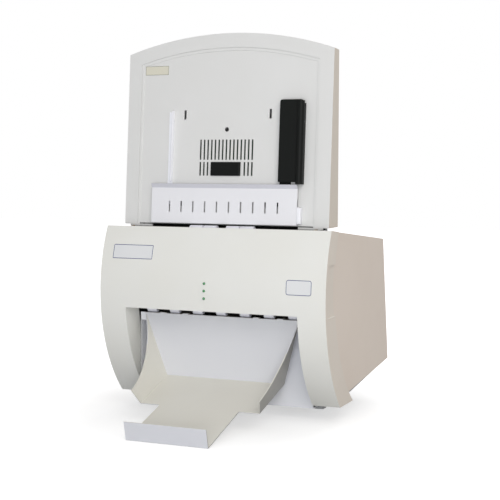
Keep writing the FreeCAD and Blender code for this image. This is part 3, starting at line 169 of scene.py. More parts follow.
def fill_tone(tree: bpy.types.NodeTree, start: bpy.types.Node, end: bpy.types.Node) -> None:
    """Broad, faint drifts of a colour towards a second one, with a little speckle.

    Args:
        tree: The group's tree.
        start: Its input node.
        end: Its output node.
    """
    broad = tree.nodes.new("ShaderNodeTexNoise")
    broad.inputs["Detail"].default_value = 2.0
    speck = tree.nodes.new("ShaderNodeTexNoise")
    speck.inputs["Scale"].default_value = 900.0
    span = tree.nodes.new("ShaderNodeMapRange")
    span.inputs["From Min"].default_value = 0.35
    span.inputs["From Max"].default_value = 0.65
    add = tree.nodes.new("ShaderNodeMath")
    add.operation = "MULTIPLY_ADD"
    add.inputs[1].default_value = 0.25
    share = tree.nodes.new("ShaderNodeMath")
    share.operation = "MULTIPLY"
    mix = tree.nodes.new("ShaderNodeMix")
    mix.data_type = "RGBA"
    colours = [socket for socket in mix.inputs if socket.type == "RGBA"]
    tree.links.new(start.outputs["Position"], broad.inputs["Vector"])
    tree.links.new(start.outputs["Position"], speck.inputs["Vector"])
    tree.links.new(start.outputs["Scale"], broad.inputs["Scale"])
    tree.links.new(broad.outputs["Fac"], span.inputs["Value"])
    tree.links.new(speck.outputs["Fac"], add.inputs[0])
    tree.links.new(span.outputs["Result"], add.inputs[2])
    tree.links.new(add.outputs[0], share.inputs[0])
    tree.links.new(start.outputs["Amount"], share.inputs[1])
    tree.links.new(share.outputs[0], mix.inputs["Factor"])
    tree.links.new(start.outputs["Colour"], colours[0])
    tree.links.new(start.outputs["Drift"], colours[1])
    tree.links.new([s for s in mix.outputs if s.type == "RGBA"][0], end.inputs["Colour"])


def fill_gloss(tree: bpy.types.NodeTree, start: bpy.types.Node, end: bpy.types.Node) -> None:
    """Handling marks: patches that are a little glossier or duller.

    Args:
        tree: The group's tree.
        start: Its input node.
        end: Its output node.
    """
    patch = tree.nodes.new("ShaderNodeTexNoise")
    patch.inputs["Scale"].default_value = 23.0
    patch.inputs["Detail"].default_value = 5.0
    centre = tree.nodes.new("ShaderNodeMath")
    centre.operation = "SUBTRACT"
    centre.inputs[1].default_value = 0.5
    sum_up = tree.nodes.new("ShaderNodeMath")
    sum_up.operation = "MULTIPLY_ADD"
    tree.links.new(start.outputs["Position"], patch.inputs["Vector"])
    tree.links.new(patch.outputs["Fac"], centre.inputs[0])
    tree.links.new(centre.outputs[0], sum_up.inputs[0])
    tree.links.new(start.outputs["Amount"], sum_up.inputs[1])
    tree.links.new(start.outputs["Roughness"], sum_up.inputs[2])
    tree.links.new(sum_up.outputs[0], end.inputs["Roughness"])


GRAIN_GROUP = EffectGroup(
    "surface_grain",
    (("Position", "NodeSocketVector", 0.0), ("Scale", "NodeSocketFloat", 1500.0), ("Depth", "NodeSocketFloat", 0.1)),
    (("Normal", "NodeSocketVector"),),
    fill_grain,
)
TONE_GROUP = EffectGroup(
    "tone_drift",
    (
        ("Position", "NodeSocketVector", 0.0),
        ("Colour", "NodeSocketColor", 0.0),
        ("Drift", "NodeSocketColor", 0.0),
        ("Scale", "NodeSocketFloat", 6.0),
        ("Amount", "NodeSocketFloat", 0.5),
    ),
    (("Colour", "NodeSocketColor"),),
    fill_tone,
)
GLOSS_GROUP = EffectGroup(
    "gloss_drift",
    (("Position", "NodeSocketVector", 0.0), ("Roughness", "NodeSocketFloat", 0.5), ("Amount", "NodeSocketFloat", 0.1)),
    (("Roughness", "NodeSocketFloat"),),
    fill_gloss,
)


@dataclass(frozen=True)
class Finish:
    """One finish: its colours, gloss and relief.

    Attributes:
        name: The material's name.
        colour: Display colour, 0 to 255.
        drift: Display colour towards which it drifts.
        roughness: Mean roughness.
        grain: Kind of relief.
        depth: Strength of the relief.
        metallic: 1 for bare metal.
        amount: How far the colour drifts.
        glow: Strength of its own light.
        transmission: Share of light that passes through.
        coat: Weight of a clear coat.
        shine: Level of the surface's mirror reflection.
    """

    name: str
    colour: tuple[int, int, int]
    drift: tuple[int, int, int]
    roughness: float = 0.5
    grain: Grain = Grain.SMOOTH
    depth: float = 0.1
    metallic: float = 0.0
    amount: float = 0.5
    glow: float = 0.0
    transmission: float = 0.0
    coat: float = 0.0
    shine: float = 0.5

    def position(self, tree: bpy.types.NodeTree) -> bpy.types.NodeSocket:
        """Object coordinates, drawn out along X for a brushed finish.

        Args:
            tree: The material's tree.

        Returns:
            The socket that carries them.
        """
        where = tree.nodes.new("ShaderNodeTexCoord")
        if self.grain is not Grain.BRUSHED:
            return where.outputs["Object"]
        mapping = tree.nodes.new("ShaderNodeMapping")
        mapping.inputs["Scale"].default_value = (0.03, 1.0, 1.0)
        tree.links.new(where.outputs["Object"], mapping.inputs["Vector"])
        return mapping.outputs["Vector"]

    def place(self, tree: bpy.types.NodeTree, group: EffectGroup, at: bpy.types.NodeSocket) -> bpy.types.Node:
        """Puts an effect group into the material.

        Args:
            tree: The material's tree.
            group: The effect.
            at: The socket with the coordinates.

        Returns:
            The group's node.
        """
        node = tree.nodes.new("ShaderNodeGroup")
        node.node_tree = group.tree()
        tree.links.new(at, node.inputs["Position"])
        return node

    def material(self) -> bpy.types.Material:
        """Gives the finish as a material.

        Returns:
            The material, built if it isn't there yet.
        """
        name = self.name + "_finish"
        found = bpy.data.materials.get(name)
        if found is not None:
            return found
        material = bpy.data.materials.new(name)
        material.use_nodes = True
        tree = material.node_tree
        shader = tree.nodes["Principled BSDF"]
        at = self.position(tree)
        tone = self.place(tree, TONE_GROUP, at)
        tone.inputs["Colour"].default_value = srgb(*self.colour)
        tone.inputs["Drift"].default_value = srgb(*self.drift)
        tone.inputs["Amount"].default_value = self.amount
        tree.links.new(tone.outputs["Colour"], shader.inputs["Base Color"])
        gloss = self.place(tree, GLOSS_GROUP, at)
        gloss.inputs["Roughness"].default_value = self.roughness
        tree.links.new(gloss.outputs["Roughness"], shader.inputs["Roughness"])
        if self.grain is not Grain.SMOOTH:
            scales = {Grain.SPARKED: 1700.0, Grain.POWDER: 700.0, Grain.BRUSHED: 2500.0}
            relief = self.place(tree, GRAIN_GROUP, at)
            relief.inputs["Scale"].default_value = scales[self.grain]
            relief.inputs["Depth"].default_value = self.depth
            tree.links.new(relief.outputs["Normal"], shader.inputs["Normal"])
        shader.inputs["Metallic"].default_value = self.metallic
        shader.inputs["Coat Weight"].default_value = self.coat
        shader.inputs["Specular IOR Level"].default_value = self.shine
        shader.inputs["Transmission Weight"].default_value = self.transmission
        if self.glow > 0.0:
            shader.inputs["Emission Color"].default_value = srgb(*self.colour)
            shader.inputs["Emission Strength"].default_value = self.glow
        return material


BEZEL = Finish("bezel_plastic", (234, 234, 230), (231, 230, 223), 0.52, Grain.SPARKED, 0.16)
FEEDER = Finish("feeder_plastic", (226, 226, 225), (222, 222, 220), 0.5, Grain.SPARKED, 0.12)
COVER = Finish("cover_paint", (228, 217, 206), (222, 210, 198), 0.55, Grain.POWDER, 0.3)
# The tray's own off-white paint, with a cream cast that is painted warm light from above.
TRAY = Finish("tray_paint", (227, 225, 216), (223, 220, 210), 0.4, Grain.POWDER, 0.1)
# A cooler copy of the tray paint for its upright faces: painted cool light from the front.
TRAY_COOL_LIGHT = Finish("tray_painted_cool_light", (224, 225, 230), (219, 220, 226), 0.4, Grain.POWDER, 0.1)
PLATE = Finish("plate_paint", (238, 238, 242), (234, 234, 238), 0.42, Grain.POWDER, 0.1)
# A darker copy of the tray paint for the outside of the right wing: painted shade.
TRAY_SHADE = Finish("tray_wing_painted_shade", (176, 175, 171), (170, 169, 164), 0.5, Grain.POWDER, 0.1)
# A darker, warmer copy of the bezel plastic for its side faces: painted shade where the light grazes them.
BEZEL_SIDE_SHADE = Finish("bezel_side_painted_shade", (226, 218, 208), (221, 212, 200), 0.52, Grain.SPARKED, 0.16)
# A darker, warmer copy of the feeder plastic for the frame's side faces: painted shade where the light grazes them.
FEEDER_SIDE_SHADE = Finish("feeder_side_painted_shade", (218, 210, 199), (213, 204, 192), 0.52, Grain.SPARKED, 0.12)
# A darker, bluer copy of the plate paint for the stop plate's flared lip: painted shade on its tilted face.
PLATE_LIP_SHADE = Finish("stop_lip_painted_shade", (218, 218, 226), (213, 213, 222), 0.42, Grain.POWDER, 0.1)
FOOT = Finish("grey_rubber", (206, 206, 206), (198, 198, 198), 0.8, Grain.SPARKED, 0.3)
# A darker copy of the plate paint for the front plate's side edges: painted shade beside the legs.
PLATE_EDGE_SHADE = Finish("plate_edge_painted_shade", (190, 190, 190), (184, 184, 184), 0.5, Grain.POWDER, 0.1)
# A brighter copy of the plate paint: painted light on the front plate under the tray, and a painted highlight on the
# left film guide and the stop plate's end tab.
PLATE_PAINTED_LIGHT = Finish("plate_painted_light", (248, 249, 254), (245, 246, 252), 0.42, Grain.POWDER, 0.1)
ZINC = Finish("zinc_sheet", (172, 174, 176), (150, 153, 158), 0.38, Grain.BRUSHED, 0.1, 1.0)
STEEL = Finish("ground_steel", (178, 179, 182), (160, 160, 165), 0.28, Grain.BRUSHED, 0.1, 1.0)
ALUMINIUM = Finish("machined_aluminium", (200, 201, 204), (186, 187, 190), 0.32, Grain.BRUSHED, 0.08, 1.0)
BRONZE = Finish("sintered_bronze", (168, 132, 84), (140, 106, 64), 0.5, Grain.POWDER, 0.2, 1.0)
BLACK = Finish("black_plastic", (15, 18, 16), (11, 13, 12), 0.5, Grain.SPARKED, 0.2, shine=0.2)
DARK = Finish("dark_paint", (30, 30, 31), (24, 24, 25), 0.7, Grain.POWDER, 0.2)
WHITE_ROLLER = Finish("white_silicone", (240, 240, 248), (234, 234, 243), 0.55, Grain.SPARKED, 0.1)
RUBBER = Finish("black_rubber", (38, 38, 39), (28, 28, 29), 0.75, Grain.SPARKED, 0.3)
BELT = Finish("belt_rubber", (42, 42, 44), (30, 30, 32), 0.7, Grain.SPARKED, 0.2)
BOARD = Finish("circuit_board", (46, 66, 54), (38, 56, 46), 0.35, Grain.SMOOTH, coat=0.3)
LED = Finish("led_lens", (70, 134, 86), (56, 112, 68), 0.25, Grain.SMOOTH, glow=0.15, coat=0.6)
LAMP = Finish("opal_glass", (242, 242, 238), (236, 236, 230), 0.2, Grain.SMOOTH, coat=0.5)
LENS = Finish("coated_glass", (26, 30, 46), (20, 24, 38), 0.05, Grain.SMOOTH, coat=1.0)
LABEL_CREAM = Finish("label_cream", (222, 219, 203), (217, 213, 195), 0.35, Grain.SMOOTH, coat=0.2)
LABEL_WHITE = Finish("label_white", (230, 231, 232), (224, 226, 229), 0.3, Grain.SMOOTH, coat=0.3)
LABEL_BLUE = Finish("label_border", (62, 72, 128), (54, 62, 116), 0.35, Grain.SMOOTH, coat=0.3)
LABEL_BROWN = Finish("label_dark_edge", (96, 92, 78), (84, 80, 68), 0.4, Grain.SMOOTH)
# Near-black for a sheet that stands in for the shadow inside the louvres: painted shadow.
SLOT_BLACK = Finish("slot_shadow", (24, 24, 26), (18, 18, 20), 0.8, Grain.SMOOTH)

# The front plate's finish is the brighter copy of the plate paint, painted light where the tray shades it.
NODE_FINISHES: dict[str, Finish] = {"front_plate": PLATE_PAINTED_LIGHT, "rubber_feet": FOOT}
SLOT_FINISHES: dict[str, Finish] = {
    "bezel_plastic": BEZEL,
    "feeder_plastic": FEEDER,
    "cover_paint": COVER,
    "tray_paint": TRAY,
    "plate_paint": PLATE,
    "zinc": ZINC,
    "steel": STEEL,
    "black_plastic": BLACK,
    "dark_paint": DARK,
    "white_roller": WHITE_ROLLER,
    "black_rubber": RUBBER,
    "belt_rubber": BELT,
    "aluminium": ALUMINIUM,
    "bronze": BRONZE,
    "board": BOARD,
    "led_green": LED,
    "lamp_glass": LAMP,
    "lens_glass": LENS,
}


# Making meshes


def finished(mesh: bmesh.types.BMesh, name: str, finishes: list[Finish], body: str) -> bpy.types.Object:
    """Turns a bmesh into a piece that rides on a body.

    Args:
        mesh: The piece's mesh, in place. It is freed.
        name: The piece's name.
        finishes: Its finishes, in the order of its material indices.
        body: The body that carries it.

    Returns:
        The piece.
    """
    data = bpy.data.meshes.new(name)
    mesh.to_mesh(data)
    mesh.free()
    piece = bpy.data.objects.new(name, data)
    bpy.context.scene.collection.objects.link(piece)
    for finish in finishes:
        data.materials.append(finish.material())
    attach(piece, body)
    log.info("%s: %d faces, on %s", name, len(data.polygons), body)
    return piece


def smooth(piece: bpy.types.Object, angle: float = 35.0) -> None:
    """Shades a piece smooth, except across edges sharper than an angle in degrees."""
    piece.data.shade_smooth()
    piece.data.set_sharp_from_angle(angle=math.radians(angle))


def even_shading(piece: bpy.types.Object) -> None:
    """Lets the large faces of a rounded piece lead its shading, so that they look flat."""
    weighted = piece.modifiers.new("even_shading", "WEIGHTED_NORMAL")
    weighted.mode = "FACE_AREA"
    weighted.weight = 50
    weighted.keep_sharp = True


def moulded_copy(node: str, width: float, segments: int, flat: float = 1.0, sharp: float = 28.0) -> bmesh.types.BMesh:
    """Copies a CAD node and rounds its sharp edges.

    Args:
        node: The CAD node.
        width: Width of the rounding, in metres.
        segments: Faces across the rounding.
        flat: Triangles that meet within this many degrees are joined.
        sharp: Edges sharper than this many degrees are rounded.

    Returns:
        The rounded mesh.
    """
    mesh = bmesh.new()
    mesh.from_mesh(frame["nodes"][node].data)
    bmesh.ops.remove_doubles(mesh, verts=mesh.verts, dist=2e-6)
    bmesh.ops.dissolve_limit(mesh, angle_limit=math.radians(flat), verts=mesh.verts, edges=mesh.edges)
    edges = [e for e in mesh.edges if len(e.link_faces) == 2 and e.calc_face_angle(0.0) > math.radians(sharp)]
    bmesh.ops.bevel(
        mesh,
        geom=edges,
        offset=width,
        offset_type="OFFSET",
        affect="EDGES",
        segments=segments,
        profile=0.5,
        clamp_overlap=True,
        material=-1,
    )
    return mesh


def moulded(node: str, finish: Finish, width: float, segments: int = 2) -> bpy.types.Object:
    """Stands a rounded copy in a CAD node's place.

    Args:
        node: The CAD node.
        finish: Its finish.
        width: Width of the rounding, in metres.
        segments: Faces across the rounding.

    Returns:
        The piece, which replaces the node.
    """
    source = frame["nodes"][node]
    piece = finished(moulded_copy(node, width, segments), node + "_moulded", [finish], source["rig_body"])
    smooth(piece)
    even_shading(piece)
    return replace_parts(piece, node)


def second_finish(piece: bpy.types.Object, finish: Finish, wanted: Callable[[bpy.types.MeshPolygon], bool]) -> None:
    """Gives some faces of a piece another finish.

    Args:
        piece: The piece.
        finish: Their finish.
        wanted: Tells whether a face gets it.
    """
    piece.data.materials.append(finish.material())
    place = len(piece.data.materials) - 1
    for face in piece.data.polygons:
        if wanted(face):
            face.material_index = place


def block(low: Vector, high: Vector) -> bmesh.types.BMesh:
    """A block between two corners.

    Args:
        low: Its lowest corner.
        high: Its highest corner.

    Returns:
        The block's mesh.
    """
    mesh = bmesh.new()
    made = bmesh.ops.create_cube(mesh, size=1.0)
    size = Vector(high) - Vector(low)
    bmesh.ops.scale(mesh, vec=size, verts=made["verts"])
    bmesh.ops.translate(mesh, vec=(Vector(low) + Vector(high)) / 2, verts=made["verts"])
    return mesh


def round_edges(mesh: bmesh.types.BMesh, width: float, segments: int, wanted: Callable[[bmesh.types.BMEdge], bool]) -> None:
    """Rounds the edges of a mesh that a test picks.

    Args:
        mesh: The mesh.
        width: Width of the rounding.
        segments: Faces across it.
        wanted: The test.
    """
    edges = [edge for edge in mesh.edges if wanted(edge)]
    bmesh.ops.bevel(
        mesh, geom=edges, offset=width, offset_type="OFFSET", affect="EDGES", segments=segments, profile=0.5, material=-1
    )


def along(edge: bmesh.types.BMEdge, axis: int) -> bool:
    """Whether an edge runs along an axis."""
    run = edge.verts[1].co - edge.verts[0].co
    return abs(run[axis]) > 0.999 * run.length


def roller_mesh(places: list[float], radius: float, width: float, bore: float, chamfer: float) -> bmesh.types.BMesh:
    """Rollers along X, each with rounded rims and a stepped hub.

    Args:
        places: The rollers' centres along X.
        radius: Their radius.
        width: Their width.
        bore: Radius of the shaft through them.
        chamfer: Width of the rounded rims.

    Returns:
        The rollers' mesh, about the X axis.
    """
    mesh = bmesh.new()
    half = width / 2
    hub = bore + 0.35 * (radius - bore)
    outline = [
        (-half, bore),
        (-half, hub),
        (-half + 1.2 * MM, hub + 0.4 * MM),
        (-half + 1.2 * MM, radius - 2.2 * MM),
        (-half, radius - 1.6 * MM),
        (-half, radius - chamfer),
        (-half + 0.3 * chamfer, radius - 0.3 * chamfer),
        (-half + chamfer, radius),
    ]
    outline += [(-x, r) for x, r in reversed(outline)]
    for centre in places:
        verts = [mesh.verts.new((centre + x, 0.0, r)) for x, r in outline]
        edges = [mesh.edges.new((a, b)) for a, b in zip(verts, verts[1:] + verts[:1])]
        bmesh.ops.spin(
            mesh,
            geom=verts + edges,
            cent=(0, 0, 0),
            axis=(1, 0, 0),
            dvec=(0, 0, 0),
            angle=2 * math.pi,
            steps=40,
            use_merge=True,
            use_duplicate=False,
        )
    bmesh.ops.remove_doubles(mesh, verts=mesh.verts, dist=1e-6)
    bmesh.ops.recalc_face_normals(mesh, faces=mesh.faces)
    return mesh


def screw_heads(places: list[tuple[float, float]], radius: float) -> bmesh.types.BMesh:
    """Pan-head screws with a cross recess, upright in the plane Y = 0 and facing +Y.

    Args:
        places: X and Z of each.
        radius: Radius of the heads.

    Returns:
        The heads' mesh.
    """
    mesh = bmesh.new()
    outline = [(0.0, -0.3), (1.0, -0.3), (1.0, 0.22), (0.86, 0.42), (0.6, 0.55), (0.3, 0.6), (0.0, 0.62)]
    for x, z in places:
        verts = [mesh.verts.new((r * radius, y * radius, 0.0)) for r, y in outline]
        edges = [mesh.edges.new(pair) for pair in zip(verts, verts[1:])]
        bmesh.ops.spin(
            mesh,
            geom=verts + edges,
            cent=(0, 0, 0),
            axis=(0, 1, 0),
            dvec=(0, 0, 0),
            angle=2 * math.pi,
            steps=16,
            use_merge=True,
            use_duplicate=False,
        )
        for vert in mesh.verts:
            if not vert.tag:
                vert.co.x += x
                vert.co.z += z
                vert.tag = True
    bmesh.ops.remove_doubles(mesh, verts=mesh.verts, dist=1e-6)
    bmesh.ops.recalc_face_normals(mesh, faces=mesh.faces)
    return mesh


def centre_of(node: str) -> Vector:
    """The centre of a CAD node's box."""
    low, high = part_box(node)
    return (low + high) / 2


# The product's sub-assemblies


@dataclass
class FrontBezel:
    """The curved front moulding with its lights and its two bare plates."""

    radius: float = 0.336
    apex: tuple[float, float] = (-0.130012, 0.277)
    edge: float = 2.2 * MM
    plate_thick: float = 0.7 * MM
    left_plate: tuple[float, float, float, float] = (-0.242, -0.1425, 0.357, 0.388)
    right_plate: tuple[float, float, float, float] = (0.1805, 0.238, 0.293, 0.325)
    border: float = 1.3 * MM
    light_x: float = -0.011
    light_heights: tuple[float, float, float] = (0.2765, 0.293, 0.3092)
    light_radius: float = 2.9 * MM

    side_x: float = 0.25

    def face_y(self, z: float) -> float:
        """Y of the curved face at a height."""
        y, mid = self.apex
        return y + self.radius - math.sqrt(self.radius**2 - (z - mid) ** 2)

    def plate(self, name: str, place: tuple[float, float, float, float], corner: float) -> bpy.types.Object:
        """A bare plate that follows the curved face, with a coloured border.

        Args:
            name: The piece's name.
            place: Left, right, low and high.
            corner: Radius of its corners.

        Returns:
            The plate.
        """
        left, right, low, high = place
        mesh = block(Vector((left, 0.0, low)), Vector((right, self.plate_thick, high)))
        round_edges(mesh, corner, 5, lambda edge: along(edge, 1))
        face = min(mesh.faces, key=lambda f: f.calc_center_median().y)
        ring = bmesh.ops.inset_individual(mesh, faces=[face], thickness=self.border, depth=0.0)
        for part in ring["faces"]:
            part.material_index = 1
        bmesh.ops.inset_individual(mesh, faces=[face], thickness=0.15 * MM, depth=-0.12 * MM)
        for step in range(1, 12):
            height = low + (high - low) * step / 12
            geom = mesh.verts[:] + mesh.edges[:] + mesh.faces[:]
            bmesh.ops.bisect_plane(mesh, geom=geom, plane_co=(0, 0, height), plane_no=(0, 0, 1))
        for vert in mesh.verts:
            vert.co.y += self.face_y(vert.co.z) - self.plate_thick + 0.1 * MM
        return finished(mesh, name, [LABEL_WHITE, LABEL_BLUE], "case")

    def lights(self) -> bpy.types.Object:
        """Domed lenses on the three status lights.

        Returns:
            The lenses.
        """
        mesh = bmesh.new()
        for height in self.light_heights:
            made = bmesh.ops.create_uvsphere(mesh, u_segments=24, v_segments=12, radius=self.light_radius)
            bmesh.ops.scale(mesh, vec=(1, 0.75, 1), verts=made["verts"])
            centre = Vector((self.light_x, self.face_y(height) - 1.0 * MM, height))
            bmesh.ops.translate(mesh, vec=centre, verts=made["verts"])
        piece = finished(mesh, "status_light_domes", [LED], "case")
        smooth(piece, 80)
        return piece

    def build(self) -> None:
        """Builds the moulding with painted shade on its side faces, its plates and its lights."""
        piece = moulded("front_bezel", BEZEL, self.edge, 3)
        # The side faces get the darker, warmer copy as painted shade.
        second_finish(piece, BEZEL_SIDE_SHADE, lambda face: face.normal.x > 0.9 and face.center.x > self.side_x)
        second_finish(piece, BEZEL_SIDE_SHADE, lambda face: face.normal.x < -0.9 and face.center.x < -self.side_x)
        self.plate("bezel_left_plate", self.left_plate, 2.0 * MM)
        self.plate("bezel_right_plate", self.right_plate, 5.0 * MM)
        self.lights()


@dataclass
class FilmFeeder:
    """The leaning feeder: arched frame, panel, stop plate, guides and label plate."""

    base: tuple[float, float, float] = (0.0, -0.051012, 0.431)
    lean: float = 4.64
    label: tuple[float, float, float, float] = (-0.208, -0.1495, 0.3405, 0.3605)
    edge: float = 2.0 * MM
    opening_half: float = 0.2166
    opening_radius: float = 0.7422
    opening_centre: float = -0.3452
    panel_depth: float = 3.0 * MM
    reveal_width: float = 7.0 * MM
    reveal_rise: float = 1.5 * MM
    side_x: float = 0.24
    lip_z: float = 0.515

    def placed(self, mesh: bmesh.types.BMesh) -> bmesh.types.BMesh:
        """Leans a mesh made upright in the feeder's own axes back into place.

        Args:
            mesh: The mesh, with its origin at the feeder's lower front edge.

        Returns:
            The same mesh.
        """
        turn = Matrix.Translation(self.base) @ Matrix.Rotation(-math.radians(self.lean), 4, "X")
        bmesh.ops.transform(mesh, matrix=turn, verts=mesh.verts)
        return mesh

    def reveal(self) -> bpy.types.Object:
        """The narrow step that runs round the panel, inside the frame's arched opening.

        Returns:
            The step.
        """
        mesh = bmesh.new()
        half, depth = self.opening_half, self.panel_depth + 0.2 * MM
        side = self.opening_centre + math.sqrt(self.opening_radius**2 - half**2)
        start = mesh.verts.new((half, depth, side))
        bmesh.ops.spin(
            mesh,
            geom=[start],
            cent=(0, depth, self.opening_centre),
            axis=(0, -1, 0),
            dvec=(0, 0, 0),
            angle=2 * math.asin(half / self.opening_radius),
            steps=36,
            use_duplicate=False,
        )
        end = min(mesh.verts, key=lambda v: v.co.x)
        low_left, low_right = mesh.verts.new((-half, depth, -0.004)), mesh.verts.new((half, depth, -0.004))
        for pair in ((end, low_left), (low_left, low_right), (low_right, start)):
            mesh.edges.new(pair)
        bmesh.ops.contextual_create(mesh, geom=mesh.edges[:])
        bmesh.ops.inset_individual(mesh, faces=mesh.faces[:], thickness=self.reveal_width, depth=0.0)
        spare = [f for f in mesh.faces if len(f.verts) > 4 or f.calc_center_median().z < 0.004]
        bmesh.ops.delete(mesh, geom=spare, context="FACES")
        made = bmesh.ops.extrude_face_region(mesh, geom=mesh.faces[:], use_keep_orig=True)
        front = [part for part in made["geom"] if isinstance(part, bmesh.types.BMVert)]
        bmesh.ops.translate(mesh, vec=(0, -self.reveal_rise - 0.2 * MM, 0), verts=front)
        bmesh.ops.recalc_face_normals(mesh, faces=mesh.faces)
        rim = [e for e in mesh.edges if e.verts[0] in front and e.verts[1] in front and len(e.link_faces) == 2]
        rim = [e for e in rim if e.calc_face_angle(0.0) > 0.8]
        bmesh.ops.bevel(
            mesh,
            geom=rim,
            offset=0.7 * MM,
            offset_type="OFFSET",
            affect="EDGES",
            segments=3,
            profile=0.5,
            clamp_overlap=True,
            material=-1,
        )
        piece = finished(self.placed(mesh), "feeder_opening_step", [FEEDER], "case")
        smooth(piece)
        even_shading(piece)
        return piece

    def stop_end(self) -> bpy.types.Object:
        """The folded tab that closes the right end of the stop plate.

        Returns:
            The tab.
        """
        mesh = block(Vector((0.1775, -0.0105, 0.008)), Vector((0.186, 0.0027, 0.043)))
        round_edges(mesh, 0.8 * MM, 3, lambda edge: True)
        # The tab's brighter finish is a painted highlight.
        piece = finished(self.placed(mesh), "stop_plate_end", [PLATE_PAINTED_LIGHT], "case")
        smooth(piece)
        return piece

    def label_plate(self) -> bpy.types.Object:
        """The bare cream plate at the upper left, with a thin dark edge.

        Returns:
            The plate.
        """
        left, right, low, high = self.label
        front = 3.0 * MM
        mesh = block(Vector((left, front - 0.6 * MM, low)), Vector((right, front + 0.1 * MM, high)))
        face = min(mesh.faces, key=lambda f: f.calc_center_median().y)
        ring = bmesh.ops.inset_individual(mesh, faces=[face], thickness=0.9 * MM, depth=0.0)
        for part in ring["faces"]:
            part.material_index = 1
        return finished(self.placed(mesh), "feeder_label_plate", [LABEL_CREAM, LABEL_BROWN], "case")

    def build(self) -> None:
        """Builds the feeder's pieces."""
        piece = moulded("feeder_frame", FEEDER, self.edge, 3)
        # The frame's side faces get the darker, warmer copy as painted shade.
        second_finish(piece, FEEDER_SIDE_SHADE, lambda face: abs(face.normal.x) > 0.9 and abs(face.center.x) > self.side_x)
        moulded("sensor_block", BLACK, 1.5 * MM, 3)
        stop = moulded("film_stop_plate", PLATE, 0.35 * MM, 2)
        # The flared lip gets the darker, bluer copy as painted shade.
        second_finish(stop, PLATE_LIP_SHADE, lambda face: face.center.z > self.lip_z)
        self.stop_end()
        moulded("right_film_guide", BLACK, 0.9 * MM, 3)
        # The left guide's brighter finish is a painted highlight on its flange.
        moulded("left_film_guide", PLATE_PAINTED_LIGHT, 0.3 * MM, 2)
        self.reveal()
        self.label_plate()


@dataclass
class FilmTransport:
    """The rollers that show at the film's entry and exit."""

    rim: float = 0.9 * MM
    entry_radius: float = 0.010
    entry_width: float = 0.032
    entry_places: tuple[float, ...] = (-0.060, -0.026, 0.029, 0.063)
    exit_radius: float = 0.009
    exit_width: float = 0.023
    exit_count: int = 7
    exit_pitch: float = 0.0575
    shaft: float = 0.004

    def rollers(self, node: str, places: list[float], radius: float, width: float) -> bpy.types.Object:
        """White rollers with rounded rims in a CAD node's place.

        Args:
            node: The CAD node of the rollers.
            places: Their centres along X.
            radius: Their radius.
            width: Their width.

        Returns:
            The rollers.
        """
        mesh = roller_mesh(places, radius, width, self.shaft, self.rim)
        centre = centre_of(node)
        bmesh.ops.translate(mesh, vec=(0, centre.y, centre.z), verts=mesh.verts)
        body = frame["nodes"][node]["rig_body"]
        piece = finished(mesh, node + "_moulded", [WHITE_ROLLER], body)
        smooth(piece, 40)
        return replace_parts(piece, node)

    def build(self) -> None:
        """Builds both rows of rollers."""
        exits = [self.exit_pitch * (i - (self.exit_count - 1) / 2) for i in range(self.exit_count)]
        self.rollers("exit_drive_rollers", exits, self.exit_radius, self.exit_width)
        self.rollers("entry_pinch_rollers", list(self.entry_places), self.entry_radius, self.entry_width)


@dataclass
class ExitTray:
    """The bent sheet tray that catches the films."""

    edge: float = 0.45 * MM
    upright: float = 0.85
    wing_turn: float = 0.35
    wing_x: float = 0.08
    broad: float = 40.0 * MM * MM

    def build(self) -> None:
        """Builds the tray with its cut edges rounded; its upright faces get a cooler copy of the paint as painted cool
        light, and the outside of the right wing a darker copy as painted shade.
        """
        piece = moulded("exit_tray", TRAY, self.edge, 2)
        # Upright faces get the cooler copy as painted cool light; the right wing's outside gets the darker copy as
        # painted shade.
        second_finish(piece, TRAY_COOL_LIGHT, lambda face: abs(face.normal.y) > self.upright)
        second_finish(piece, TRAY_SHADE, lambda face: face.normal.x > self.wing_turn and face.center.x > self.wing_x)
        for face in piece.data.polygons:
            face.use_smooth = face.area < self.broad


